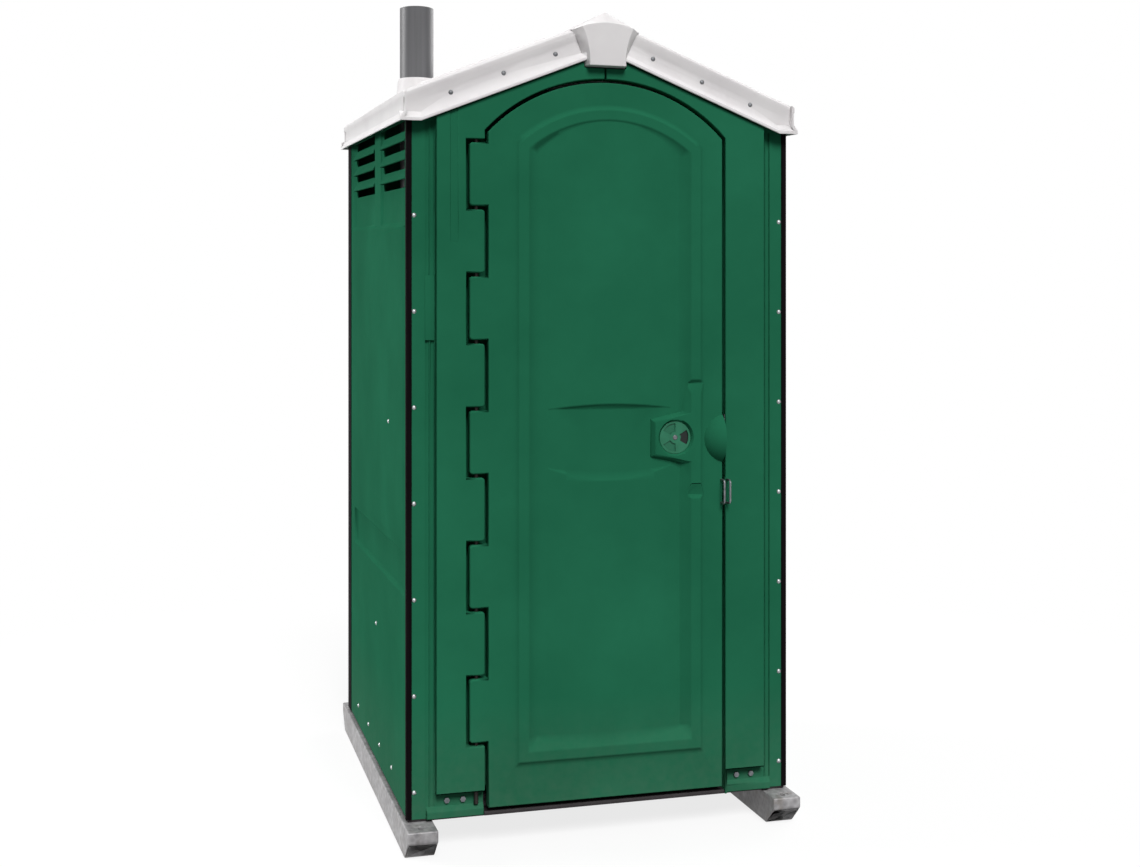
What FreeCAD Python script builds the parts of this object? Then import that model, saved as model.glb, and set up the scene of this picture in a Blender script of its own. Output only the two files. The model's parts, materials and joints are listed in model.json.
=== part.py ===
import FreeCAD, Part
import math
import os

V = FreeCAD.Vector

# Overall size of the cabin. The origin is on the ground below the middle of the cabin,
# +X is the latch side and +Y is the rear. Cuts run past a piece by the spare length.
cabin_width = 1100.0
cabin_depth = 1220.0
ridge_z = 2266.0
sheet = 6.0
corner_sheet = 2.0
part_gap = 0.3
spare = 100.0

# Skids
skid_past_wall = 80.0
skid_width = 82.0
skid_height = 84.0
skid_wall = 6.0
skid_stand_out = 9.0
nose_face = 30.0
nose_undercut = 58.0
nose_return = 16.0
nose_return_sheet = 4.0
nose_return_drop = 8.0
tie_hole_radius = 8.0
tie_hole_from_end = 33.0
tie_dimple_radius = 17.0
tie_dimple_depth = 1.5

# Floor pan
pan_flange = 8.0
pan_inset = 3.0
floor_height = 46.0
floor_sheet = 6.0
floor_from_wall = 40.0
pan_rib = 8.0
pan_rib_count = 4
tread_count = 9
tread_width = 8.0
tread_height = 2.0
tread_end_gap = 20.0
tread_tank_gap = 60.0

# Corner strips
strip_end_leg = 15.0
strip_front_leg = 16.0
strip_rear_leg = 70.0
strip_top_gap = 2.0

# Roof
roof_pitch = 0.40
roof_sheet = 6.0
roof_rise = 60.0
eave_stand_out = 11.0
skirt_lip = 10.0
skirt_sheet = 5.0
skirt_rim = 18.0
skirt_round = 6.0
skirt_flare = 20.0
rim_stand_out = 11.0
lip_stand_out = 25.0
fascia_sheet = 6.0
rim_drop = 20.0
rim_chamfer = 7.0
channel_top = 40.0
channel_bottom = 74.0
lip_top = 90.0
lip_bottom = 99.0
lip_sheet = 6.0
lip_overlap = 3.0
flat_lip_from_side = 36.0
crown_height = 14.0
crown_half = 98.0
crown_eave = 0.3
keystone_stand_out = 40.0
keystone_foot_half = 58.0
keystone_drop = 139.0
keystone_side_bow = 8.0
keystone_face_foot = 52.0
keystone_face_half = 74.0
keystone_face_drop = 34.0
keystone_face_rise = 13.0
keystone_ridge_arch = 1.0
keystone_room_scale = 0.88
keystone_face_sheet = 9.0
roof_panel_count = 3
roof_panel_from_front = 175.0
roof_panel_gap = 80.0
roof_panel_to_pipe = 245.0
roof_panel_height = 8.0
roof_panel_inner = 150.0
roof_panel_from_side = 50.0
roof_panel_slope = 12.0

# Vent pipe
pipe_radius = 57.15
pipe_wall = 5.0
pipe_from_side = 215.0
pipe_from_rear = 140.0
pipe_over_ridge = 224.0
pipe_below_deck = 20.0
collar_radius = 74.0
collar_rise = 34.0
collar_flange = 14.0
collar_sheet = 5.0
collar_lip = 6.0

# Side walls
louvre_depth = 15.0
louvre_draft = 18.0
louvre_from_front = 37.0
louvre_from_rear = 78.0
louvre_sill_drop = 557.0
mullion_before = 74.5
mullion_behind = 62.5
mullion_height = 8.0
louvre_margin = 23.0
louvre_first_drop = 426.0
louvre_pitch = 52.0
louvre_rows = 4
louvre_rise = 28.0
louvre_reach = 12.0
louvre_sheet = 3.0
louvre_lip = 5.0
louvre_opening = 20.0
louvre_corner = 8.0
band_depth = 12.0
band_bottom = 684.0
band_top = 800.0
band_from_front = 54.0
band_from_rear = 150.0
field_height = 4.0
field_draft = 10.0
field_from_front = 44.0
field_from_rear = 220.0
field_gap = 22.0
return_flange = 30.0
return_sheet = 6.0
rear_field_from_side = 80.0
rear_field_drop = 366.0
rear_field_lift = 90.0

# Front wall
front_sheet = 8.0
column_stand_out = 27.0
column_from_side = 78.0
column_lift = 68.0
groove_from_side = 51.0
groove_total = 25.0
groove_depth = 5.0
groove_rib = 3.0
groove_outer_width = 11.0
groove_inner_width = 10.0
groove_rib_half = 1.5
pad_bottom = 1376.0
pad_top = 1550.0
pad_height = 3.0
ledge_stand_out = 14.0
ledge_height = 30.0
ledge_from_side = 54.0
ledge_slope = 10.0
jamb_return_in = 23.0
stop_lip = 20.0
stop_sheet = 6.0
stop_top_drop = 20.0
draught_reach = 14.0
stop_clearance = 2.0
jamb_top_tab = 40.0
strike_pocket = 3.0
seam_gap = 2.5
rail_stand_out = 12.0
header_clearance = 3.0
lip_clearance = 2.0
flute_from_side = 116.0
flute_width = 20.0
flute_drop = 626.0
flute_depth = 2.0

# Doorway and door
door_from_left = 220.0
door_from_right = 206.0
door_lift = 22.0
door_thickness = 35.0
door_gap = 10.0
arch_drop = 182.0
arch_over = 127.0
door_inner_sheet = 5.0
door_inner_inset = 1.0
inner_panel_bottom = 224.0
inner_panel_rail_bottom = 900.0
inner_panel_rail_top = 1240.0
inner_panel_top = 1840.0
inner_panel_from_edge = 90.0
inner_panel_depth = 2.0
threshold_set_back = 8.0
threshold_clearance = 12.0
threshold_chamfer = 4.0

# Full height hinge
hinge_from_door = 31.0
hinge_behind_face = 17.0
tab_reach = 21.0
tab_first_lift = 172.3
tab_top_drop = 24.4
tab_count = 5
tab_gap = 10.0
tab_front_round = 5.0
tab_back_round = 14.0
tab_corner = 9.0
tab_overlap = 3.0
rod_radius = 6.0
rod_fit = 0.05
rod_over_ledge = 2.0
rod_in_top_tab = 17.5

# Door mouldings. The frame is flat on top, and the field inside it is crowned across the door.
frame_from_left = 66.0
frame_from_right = 54.0
frame_lift = 103.0
frame_arch_inset = 60.0
frame_height = 14.0
frame_bevel = 16.0
frame_mouth = 43.0
frame_slope = 1.4
door_field_height = 10.0
door_field_crown = 16.0
field_rim = 8.0
scoop_from_frame = 99.0
scoop_past_end = 13.0
scoop_depth = 13.5
scoop_slope = 1.7
scoop_top_slope = 1.0
scoop_over_latch = 97.0
scoop_top_bow = 2.5
scoop_under_latch = 112.0
scoop_bottom_bow = 18.0
slot_length = 48.0
slot_height = 10.0
slot_depth = 9.0
slot_ramp = 30.0
slot_from_edge = 81.0
slot_over_latch = 156.0
slot_under_latch = 165.0

# Latch and occupancy dial
latch_from_edge = 143.0
latch_z = 1102.0
boss_before = 70.0
boss_behind = 58.0
boss_left_half = 53.0
boss_right_half = 81.0
boss_root = 8.0
boss_bevel = 10.0
dial_pocket_radius = 46.0
dial_pocket_depth = 1.0
dish_mouth_radius = 52.0
bezel_radius = 45.5
bezel_stand_out = 6.0
bezel_sheet = 2.5
bezel_rim = 3.5
bezel_hole_radius = 5.0
window_outer = 39.0
window_inner = 16.0
window_angle = 62.0
disc_radius = 41.0
disc_sheet = 2.0
disc_back_gap = 1.2
disc_seat = 4.0
spindle_radius = 8.0
spindle_past_door = 6.0
latch_turn = 60.0
screw_head_radius = 7.0
screw_top_radius = 4.5
screw_head = 2.5
screw_under = 0.5
screw_shank_radius = 4.5
screw_slot = 1.6
crank_radius = 28.0
crank_pin_radius = 4.0
crank_width = 18.0
crank_sheet = 5.0
crank_hub = 4.0
crank_behind_bolt = 1.5
pin_slot_clearance = 0.5
pin_slot_end = 2.0
bolt_behind_face = 13.0
bolt_sheet = 8.0
bolt_over_latch = 10.0
bolt_height = 32.0
bolt_behind_latch = 41.0
bolt_setback = 1.0
bolt_chamfer = 2.0
guide_length = 60.0
guide_wall = 7.0
knob_radius = 30.0
knob_sheet = 10.0
knob_grip = 18.0
knob_grip_half = 5.0
knob_grip_round = 3.5
knob_socket = 5.5
strike_sheet = 1.5
strike_height = 70.0
strike_front = 10.0
strike_back = 13.0
strike_hole_y = 1.5
strike_hole_z = 2.5

# Dome pull and padlock loops
dome_ball_radius = 81.0
dome_sheet = 4.0
dome_bulge = 37.0
dome_past_edge = 14.0
dome_under_latch = 5.0
loop_rod = 3.0
loop_reach = 26.0
loop_under_latch = 122.0
loop_height = 65.0
loop_bend = 9.0
loop_from_edge = 3.5

# Rivets and bolts
rivet_head = 6.5
rivet_crown = 3.5
rivet_shank = 2.4
rivet_hole = 2.5
flange_grip = 14.0
roof_grip = 10.0
through = 30.0
rivet_from_side = 21.5
rivet_pitch = 257.9
rivet_rows = 7
rivet_lift = 71.5
side_rivet_lift = 64.6
side_rivet_from_front = 265.4
side_rivet_pitch = 233.6
side_rivet_count = 4
roof_rivet_from_side = 118.0
roof_rivet_pitch = 145.5
roof_rivet_count = 3
roof_rivet_drop = 52.0
ledge_bolt_from_column = 32.0
ledge_bolt_pitch = 44.0
ledge_bolt_lift = 15.0
ledge_bolt_head = 8.0
ledge_bolt_height = 6.0

# Waste tank, deck and seat
seat_from_rear = 395.0
tank_before_seat = 265.0
tank_from_rear = 20.0
tank_from_side = 48.0
tank_wall = 6.0
tank_height = 400.0
tank_flange = 20.0
tank_end_flange = 4.0
deck_sheet = 8.0
deck_side_gap = 4.0
deck_nose = 12.0
deck_lip = 60.0
deck_apron = 4.0
fitting_rivet_back = 5.0
seat_hole_x = 105.0
seat_hole_y = 135.0
seat_rim = 26.0
seat_overlap = 6.0
seat_round = 7.0
lid_round = 4.0
lid_inset = 2.0
seat_half_x = 185.0
seat_half_y = 222.0
seat_thickness = 20.0
lid_thickness = 10.0
lid_open_angle = 98.0
seat_hinge_behind = 237.0
seat_pin_radius = 5.0
seat_pin_fit = 0.05
seat_lug = 24.0
seat_lug_x = 70.0
seat_stand = 3.0
seat_eye_radius = 10.0
seat_arm_half = 5.0
seat_arm_reach = 40.0
lid_arm_reach = 60.0
lid_arm_sheet = 8.0
seat_post = 14.0
seat_post_half = 12.0
seat_post_gap = 2.0
seat_pin_in_post = 6.0

# Urinal and its drain
urinal_from_front = 296.0
urinal_rim_z = 780.0
urinal_low_z = 620.0
urinal_top_z = 1165.0
urinal_half = 140.0
urinal_rim_radius = 135.0
urinal_low_radius = 62.0
urinal_sheet = 5.0
urinal_hook_drop = 25.0
urinal_hook_radius = 12.0
wing_foot = 20.0
wing_rim = 60.0
wing_upper = 45.0
wing_upper_drop = 160.0
wing_top = 12.0
drain_radius = 16.0
drain_wall = 3.0
drain_from_wall = 48.0
drain_under_deck = 98.0
drain_bend = 40.0
drain_into_tank = 4.0

# Paper holder
holder_before_seat = 155.0
holder_z = 905.0
holder_from_wall = 78.0
holder_base = 5.0
holder_arm = 6.0
holder_base_half = 40.0
holder_arm_half = 22.0
holder_rivet_share = 0.5
spindle_end_radius = 8.0
roll_radius = 55.0
roll_width = 100.0
roll_bore = 20.3
roller_radius = 20.0
roll_space = 4.0

# Places that follow: walls and floor
half_w = cabin_width / 2
half_d = cabin_depth / 2
wall_x = half_w - corner_sheet
wall_y = half_d - corner_sheet
inner_x = wall_x - sheet
skid_length = cabin_depth + 2 * skid_past_wall
pan_z = skid_height
foot_z = pan_z + pan_flange
floor_z = pan_z + floor_height

# Places that follow: roof, pipe and side walls
fascia_y = wall_y + rail_stand_out
rim_y = fascia_y + rim_stand_out
lip_y = fascia_y + lip_stand_out
keystone_y = fascia_y + keystone_stand_out
keystone_foot_z = ridge_z - keystone_drop
eave_x = half_w + eave_stand_out
lip_x = eave_x + skirt_lip
flat_lip_x = half_w - flat_lip_from_side
pipe_x = -(half_w - pipe_from_side)
pipe_y = half_d - pipe_from_rear
pipe_top = ridge_z + pipe_over_ridge
roof_panel_first_y = roof_panel_from_front - half_d
roof_panel_pitch = (pipe_y - roof_panel_to_pipe - roof_panel_first_y) / (roof_panel_count - 1)
louvre_front_y = -(half_d - louvre_from_front)
louvre_rear_y = half_d - louvre_from_rear
louvre_middle_y = (louvre_front_y + louvre_rear_y) / 2
roof_climb = roof_rise / (2 * fascia_y)
louvre_sill_z = ridge_z - louvre_sill_drop
louvre_first_z = ridge_z - louvre_first_drop
band_front_y = -(half_d - band_from_front)
band_rear_y = half_d - band_from_rear
field_front_y = -(half_d - field_from_front)
field_rear_y = half_d - field_from_rear
field_bottom = band_top + field_gap
field_top = louvre_sill_z - field_gap

# Places that follow: front wall, door and hinge
column_face_y = -(wall_y + column_stand_out)
rail_face_y = -fascia_y
ledge_face_y = -(wall_y + ledge_stand_out)
jamb_return_y = -(wall_y - jamb_return_in)
column_x = half_w - column_from_side
column_bottom = foot_z + column_lift
groove_outer_x = half_w - groove_from_side
groove_inner_x = groove_outer_x - groove_total
ledge_outer_x = half_w - ledge_from_side
ledge_top = foot_z + ledge_height
flute_outer = half_w - flute_from_side
flute_inner = flute_outer - flute_width
flute_bottom = ridge_z - flute_drop
door_left = -(half_w - door_from_left)
door_right = half_w - door_from_right
door_bottom = foot_z + door_lift
door_face_y = column_face_y
door_back_y = door_face_y + door_thickness
arch_x = (door_left + door_right) / 2
arch_radius = (door_right - door_left) / 2 + arch_over
arch_centre_z = ridge_z - arch_drop - arch_radius
opening_left = door_left - door_gap
opening_right = door_right + door_gap
opening_radius = arch_radius + door_gap
shoulder_z = arch_centre_z + math.sqrt(opening_radius ** 2 - (opening_left - arch_x) ** 2)
hinge_x = door_left - hinge_from_door
hinge_y = door_face_y + hinge_behind_face
pocket_x = hinge_x - tab_reach - door_gap
top_tab_z = shoulder_z - tab_top_drop
tab_first_z = door_bottom + tab_first_lift
tab_step = (top_tab_z - tab_gap / 2 - tab_first_z) / (2 * tab_count - 1)
rod_bottom = ledge_top + rod_over_ledge
rod_top = top_tab_z + rod_in_top_tab

# Places that follow: mouldings and latch
frame_half = (door_right - door_left - frame_from_left - frame_from_right) / 2
frame_centre_x = door_left + frame_from_left + frame_half
frame_bottom = door_bottom + frame_lift
field_foot = door_field_crown - door_field_height
field_foot_inset = frame_mouth + (frame_height + field_foot) * frame_slope
field_half = frame_half - field_foot_inset
field_back_y = door_face_y + field_foot + sheet
frame_radius = arch_radius - frame_arch_inset
scoop_half = frame_half - scoop_from_frame
scoop_top = latch_z + scoop_over_latch
scoop_bottom = latch_z - scoop_under_latch
slot_x = door_right - slot_from_edge
frame_face_y = door_face_y - frame_height
slot_upper_z = latch_z + slot_over_latch
slot_lower_z = latch_z - slot_under_latch
latch_x = door_right - latch_from_edge
boss_left = latch_x - boss_before
boss_right = latch_x + boss_behind
dial_pocket_y = door_face_y + dial_pocket_depth
bezel_face_y = door_face_y - bezel_stand_out
spindle_end_y = door_back_y + spindle_past_door
bolt_front_y = door_face_y + bolt_behind_face
bolt_back_y = bolt_front_y + bolt_sheet
bolt_bottom = latch_z + bolt_over_latch
bolt_top = bolt_bottom + bolt_height
bolt_rear_x = latch_x - bolt_behind_latch
crank_face_y = bolt_back_y + crank_behind_bolt
dome_z = latch_z - dome_under_latch
loop_top = latch_z - loop_under_latch
loop_bottom = loop_top - loop_height

# Places that follow: rivets and bolts
rivet_first_z = foot_z + rivet_lift
side_rivet_z = foot_z + side_rivet_lift
side_rivet_first_y = -(half_d - side_rivet_from_front)
roof_rivet_outer_x = half_w - roof_rivet_from_side
ledge_bolt_x = column_x - ledge_bolt_from_column
ledge_bolt_z = ledge_top + ledge_bolt_lift

# Places that follow: inside fittings
seat_y = half_d - seat_from_rear
tank_front_y = seat_y - tank_before_seat
tank_rear_y = wall_y - tank_from_rear
tank_half = wall_x - tank_from_side
deck_half = inner_x - deck_side_gap
deck_front_y = tank_front_y - deck_nose
deck_z = floor_z + tank_height + deck_sheet
seat_hinge_y = seat_y + seat_hinge_behind
seat_axis_z = deck_z + seat_stand + seat_thickness / 2
urinal_y = -(half_d - urinal_from_front)
drain_z = deck_z - drain_under_deck
holder_y = seat_y - holder_before_seat


# Basic shapes
def block(x0, x1, y0, y1, z0, z1):
    """Rectangular solid between two corners given in any order."""
    low = V(min(x0, x1), min(y0, y1), min(z0, z1))
    return Part.makeBox(abs(x1 - x0), abs(y1 - y0), abs(z1 - z0), low)


def rod(start, end, radius):
    """Round bar from one point to another."""
    start = V(*start)
    run = V(*end) - start
    return Part.makeCylinder(radius, run.Length, start, run)


def joined(solids):
    """One solid of several that touch or overlap."""
    whole = solids[0]
    if len(solids) > 1:
        whole = whole.fuse(solids[1:])
    return whole.removeSplitter()


def face_of(points):
    """Flat face inside a closed polygon of 3-D points."""
    ring = [V(*p) for p in points]
    ring.append(ring[0])
    return Part.Face(Part.makePolygon(ring))


def plate_xz(points, y0, y1):
    """Polygon of (x, z) points made solid between two depths."""
    return face_of([(x, y0, z) for x, z in points]).extrude(V(0, y1 - y0, 0))


def plate_yz(points, x0, x1):
    """Polygon of (y, z) points made solid between two x places."""
    return face_of([(x0, y, z) for y, z in points]).extrude(V(x1 - x0, 0, 0))


def outline(steps, y):
    """Wire in an XZ plane. A step is (x, z) for a line or (x, z, via_x, via_z) for an arc."""
    edges = []
    here = steps[0]
    for step in steps[1:] + [steps[0][:2]]:
        start = V(here[0], y, here[1])
        end = V(step[0], y, step[1])
        if len(step) == 4:
            edges.append(Part.Arc(start, V(step[2], y, step[3]), end).toShape())
        elif start.distanceToPoint(end) > 0.001:
            edges.append(Part.LineSegment(start, end).toShape())
        here = step
    return Part.Wire(edges)


def slab(steps, y0, y1):
    """Outline with arcs made solid between two depths."""
    return Part.Face(outline(steps, y0)).extrude(V(0, y1 - y0, 0))


def lofted(wires):
    """Closed solid through a few matching outlines."""
    return Part.makeLoft(wires, True, True)


def pocket_x_wall(y0, y1, z0, z1, x_mouth, x_floor, draft, climb=0.0):
    """Tapered block on a wall that faces along X: mouth at full size, floor smaller by the draft.
    Its lower and upper edges rise to the rear by the climb."""
    wires = []
    for x, inset in ((x_mouth, 0.0), (x_floor, draft)):
        a, b = y0 + inset, y1 - inset
        c, d = z0 + inset, z1 - inset
        ring = [(x, a, c + climb * a), (x, b, c + climb * b), (x, b, d + climb * b),
                (x, a, d + climb * a), (x, a, c + climb * a)]
        wires.append(Part.makePolygon([V(*p) for p in ring]))
    return lofted(wires)


def pocket_y_wall(x0, x1, z0, z1, y_mouth, y_floor, draft):
    """The same for a wall that faces along Y."""
    wires = []
    for y, inset in ((y_mouth, 0.0), (y_floor, draft)):
        a, b = x0 + inset, x1 - inset
        c, d = z0 + inset, z1 - inset
        ring = [V(a, y, c), V(b, y, c), V(b, y, d), V(a, y, d), V(a, y, c)]
        wires.append(Part.makePolygon(ring))
    return lofted(wires)


def mirrored_x(shape):
    """Copy of a shape on the other side of the cabin."""
    return shape.mirror(V(0, 0, 0), V(1, 0, 0))


def arc_z(x, radius):
    """Height of the doorway's arch of a given radius above a place x."""
    return arch_centre_z + math.sqrt(radius ** 2 - (x - arch_x) ** 2)


def roof_z(x, y, drop=0.0):
    """Height of the roof's top surface less a drop. The roof rises evenly to the rear."""
    rise = roof_climb * (y + fascia_y)
    return ridge_z - drop - roof_pitch * abs(x) + rise


def above_roof(drop):
    """Everything above the roof surface lowered by a drop, used to cut the walls to the gable."""
    reach = lip_x + spare
    deep = rim_y + spare
    high = pipe_top + spare
    ring = [(-reach, roof_z(reach, -deep, drop)), (0, roof_z(0, -deep, drop)),
            (reach, roof_z(reach, -deep, drop)), (reach, high), (-reach, high)]
    face = face_of([(x, -deep, z) for x, z in ring])
    climb = roof_z(0, deep) - roof_z(0, -deep)
    return face.extrude(V(0, 2 * deep, climb))


# Rivets and bolts
def rivet(place, out, grip):
    """Domed rivet: head on the face at a place, shank going in against the outward direction."""
    head_radius = (rivet_head ** 2 + rivet_crown ** 2) / (2 * rivet_crown)
    ball = Part.makeSphere(head_radius, V(0, 0, rivet_crown - head_radius))
    room = Part.makeCylinder(rivet_head + 1, rivet_crown + 1)
    shank = Part.makeCylinder(rivet_shank, grip, V(0, 0, -grip))
    whole = joined([ball.common(room), shank])
    turn = FreeCAD.Rotation(V(0, 0, 1), V(*out))
    whole.Placement = FreeCAD.Placement(V(*place), turn)
    return whole


def drilled(shape, places, out, grip):
    """Shape with a rivet hole at each place."""
    holes = []
    for place in places:
        start = V(*place) + V(*out) * through
        holes.append(Part.makeCylinder(rivet_hole, grip + through, start, V(*out) * -1))
    return shape.cut(Part.makeCompound(holes))


def hex_head(place, out, radius, height):
    """Hexagon bolt head standing on a face."""
    corners = []
    for k in range(7):
        angle = math.radians(60 * k)
        corners.append(V(radius * math.cos(angle), radius * math.sin(angle), 0))
    head = Part.Face(Part.makePolygon(corners)).extrude(V(0, 0, height))
    head.Placement = FreeCAD.Placement(V(*place), FreeCAD.Rotation(V(0, 0, 1), V(*out)))
    return head


def flange_rivet_places(side, y):
    """Rivet places up one flange of the front or rear wall."""
    x = side * (half_w - rivet_from_side)
    return [(x, y, rivet_first_z + rivet_pitch * k) for k in range(rivet_rows)]


def side_rivet_places(side):
    """Rivets along the foot of a side wall."""
    x = side * wall_x
    return [(x, side_rivet_first_y + side_rivet_pitch * k, side_rivet_z)
            for k in range(side_rivet_count)]


def fitting_rivet_places(side):
    """Rivets through a side wall that hold the tank and the urinal or the paper holder."""
    x = side * wall_x
    if side < 0:
        fitting = [(x - field_height, urinal_y, urinal_top_z - urinal_hook_drop)]
    else:
        fitting = [(x + field_height, holder_y + s * holder_half() * holder_rivet_share, holder_z)
                   for s in (-1, 1)]
    return fitting + [(x, tank_front_y + fitting_rivet_back, deck_z - deck_lip / 2)]


def roof_rivet_places(side, end, y):
    """Rivets along one slope of a fascia, at a distance from the middle of the cabin."""
    places = []
    for k in range(roof_rivet_count):
        x = roof_rivet_outer_x - roof_rivet_pitch * k
        places.append((side * x, end * y, roof_z(x, end * fascia_y, roof_rivet_drop)))
    return places


def holder_half():
    """Half the length of the paper holder between the outer faces of its arms."""
    return roll_width + 1.5 * roll_space + holder_arm


# Skids
def skid(side):
    """Folded steel skid: closed section, flat on the ground, with undercut noses at both ends."""
    outer = side * (half_w + skid_stand_out)
    inner = outer - side * skid_width
    end = skid_length / 2
    low = end - nose_undercut
    shoulder = skid_height - nose_face
    side_view = [(-low, 0), (low, 0), (end, shoulder), (end, skid_height),
                 (-end, skid_height), (-end, shoulder)]
    body = plate_yz(side_view, inner, outer)
    hollow = block(inner + side * skid_wall, outer - side * skid_wall, -end + skid_wall,
                   end - skid_wall, skid_wall, skid_height - skid_wall)
    body = body.cut(hollow)
    returns = []
    for s in (-1, 1):
        flap = block(inner + side * 1, outer - side * 1, s * (end - skid_wall - nose_return),
                     s * (end - 1), shoulder - nose_return_drop - nose_return_sheet,
                     shoulder - nose_return_drop)
        returns.append(flap.common(plate_yz(side_view, inner, outer)))
    body = joined([body] + returns)
    middle = (outer + inner) / 2
    for s in (-1, 1):
        y = s * (end - tie_hole_from_end)
        body = body.cut(rod((middle, y, skid_height + 1), (middle, y, 0), tie_hole_radius))
        dimple = rod((middle, y, skid_height + 1), (middle, y, skid_height - tie_dimple_depth),
                     tie_dimple_radius)
        body = body.cut(dimple)
    return body


# Floor pan
def floor_pan():
    """Moulded pan: flange on the skids, raised floor with a tread, ribs below."""
    x, y = wall_x - pan_inset, wall_y - pan_inset
    fx, fy = wall_x - floor_from_wall, wall_y - floor_from_wall
    flange = block(-x, x, -y, y, pan_z, foot_z)
    raised = block(-fx, fx, -fy, fy, pan_z, floor_z)
    body = joined([flange, raised])
    body = body.cut(block(-fx + sheet, fx - sheet, -fy + sheet, fy - sheet,
                          pan_z, floor_z - floor_sheet))
    ribs = []
    for k in range(pan_rib_count):
        yk = -fy + 2 * fy * (k + 1) / (pan_rib_count + 1)
        ribs.append(block(-fx + 1, fx - 1, yk - pan_rib / 2, yk + pan_rib / 2,
                          pan_z, floor_z - 1))
    treads = []
    for k in range(tread_count):
        xk = -fx + 2 * fx * (k + 1) / (tread_count + 1)
        treads.append(block(xk - tread_width / 2, xk + tread_width / 2, -fy + tread_end_gap,
                            tank_front_y - tread_tank_gap, floor_z - 1, floor_z + tread_height))
    return joined([body] + ribs + treads)


def threshold():
    """Dark sill strip below the door, on the pan's front flange."""
    front = column_face_y + threshold_set_back
    rear = jamb_return_y - part_gap
    top = door_bottom - threshold_clearance
    side = [(front, foot_z), (rear, foot_z), (rear, top), (front + threshold_chamfer, top),
            (front, top - threshold_chamfer)]
    return plate_yz(side, opening_left + part_gap, opening_right - part_gap)


# Walls
def leaning(points, y0, y1):
    """Section of (x, z) points carried from one depth to another, rising with the roof."""
    face = face_of([(x, y0, z + roof_climb * y0) for x, z in points])
    return face.extrude(V(0, y1 - y0, roof_climb * (y1 - y0)))


def louvre(floor, y0, y1, z):
    """Hood over one louvre, and the opening through the wall behind and below it."""
    front = floor - louvre_reach
    hood = leaning([(floor + 1, z), (front, z), (front, z + louvre_lip),
                    (floor + 1, z + louvre_rise)], y0, y1)
    a, b = y0 + louvre_sheet, y1 - louvre_sheet
    top = z + louvre_rise - 2 * louvre_sheet - louvre_lip
    back = floor + sheet + 1
    low = z - louvre_opening
    slot = leaning([(back, low), (floor - 1, low), (floor - 1, z - 1),
                    (front + louvre_sheet, z - 1), (front + louvre_sheet, z + 1),
                    (floor, top), (back, top)], a, b)
    ring = [(a + louvre_corner, low), (b - louvre_corner, low), (b, low + louvre_corner),
            (b, z + louvre_rise), (a, z + louvre_rise), (a, low + louvre_corner)]
    keep = plate_yz([(y, h + roof_climb * y) for y, h in ring], front, back)
    return hood, slot.common(keep)


def side_wall():
    """Left wall, one moulded sheet with louvres at the top and a recessed band."""
    face, back = -wall_x, -inner_x
    top = ridge_z + spare
    wall = block(face, back, -wall_y, wall_y, foot_z, top)
    recess = pocket_x_wall(louvre_front_y, louvre_rear_y, louvre_sill_z, top,
                           face, face + louvre_depth, louvre_draft, roof_climb)
    recess_back = pocket_x_wall(louvre_front_y - sheet, louvre_rear_y + sheet,
                                louvre_sill_z - sheet, top + sheet,
                                face, face + louvre_depth + sheet, louvre_draft, roof_climb)
    band = pocket_x_wall(band_front_y, band_rear_y, band_bottom, band_top,
                         face, face + band_depth, field_draft)
    band_back = pocket_x_wall(band_front_y - sheet, band_rear_y + sheet,
                              band_bottom - sheet, band_top + sheet,
                              face, face + band_depth + sheet, field_draft)
    field = pocket_x_wall(field_front_y, field_rear_y, field_bottom, field_top,
                          face, face - field_height, field_draft)
    wall = joined([wall, recess_back, band_back, field]).cut(recess).cut(band)
    floor = face + louvre_depth
    mullion = pocket_x_wall(louvre_middle_y - mullion_before, louvre_middle_y + mullion_behind,
                            louvre_sill_z, top, floor + 1, floor - mullion_height,
                            mullion_height, roof_climb)
    hoods, slots = [mullion], []
    bays = ((louvre_front_y + louvre_margin, louvre_middle_y - mullion_before),
            (louvre_middle_y + mullion_behind, louvre_rear_y - louvre_margin))
    for y0, y1 in bays:
        for k in range(louvre_rows):
            hood, slot = louvre(floor, y0, y1, louvre_first_z + louvre_pitch * k)
            hoods.append(hood)
            slots.append(slot)
    wall = joined([wall] + hoods).cut(Part.makeCompound(slots))
    flanges = []
    for s in (-1, 1):
        y = s * (wall_y - front_sheet)
        flanges.append(block(back - 1, back + return_flange, y, y - s * return_sheet,
                             foot_z, ridge_z))
    wall = joined([wall] + flanges).cut(above_roof(roof_sheet))
    wall = drilled(wall, side_rivet_places(-1), (-1, 0, 0), through)
    wall = drilled(wall, flange_rivet_places(-1, -wall_y), (0, -1, 0), through)
    return drilled(wall, flange_rivet_places(-1, wall_y), (0, 1, 0), through)


def rear_wall():
    """Rear sheet with two raised fields and a recessed band, riveted to the side walls."""
    face, back = wall_y, wall_y - front_sheet
    wall = block(-inner_x, inner_x, back, face, foot_z, ridge_z + spare)
    field_x = inner_x - rear_field_from_side
    band = pocket_y_wall(-field_x, field_x, band_bottom, band_top, face, face - band_depth,
                         field_draft)
    band_back = pocket_y_wall(-field_x - sheet, field_x + sheet, band_bottom - sheet,
                              band_top + sheet, face, face - band_depth - sheet, field_draft)
    upper = pocket_y_wall(-field_x, field_x, field_bottom, ridge_z - rear_field_drop, face,
                          face + field_height, field_draft)
    lower = pocket_y_wall(-field_x, field_x, foot_z + rear_field_lift, band_bottom - field_gap,
                          face, face + field_height, field_draft)
    wall = joined([wall, band_back, upper, lower]).cut(band).cut(above_roof(roof_sheet))
    for side in (-1, 1):
        wall = drilled(wall, flange_rivet_places(side, face), (0, 1, 0), through)
    return wall


def lip_z(x):
    """Top of the front columns, just under the lip of the fascia."""
    slope = roof_z(x, column_face_y, lip_bottom)
    flat = roof_z(flat_lip_x, column_face_y, lip_bottom)
    return max(slope, flat) - lip_clearance


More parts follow.
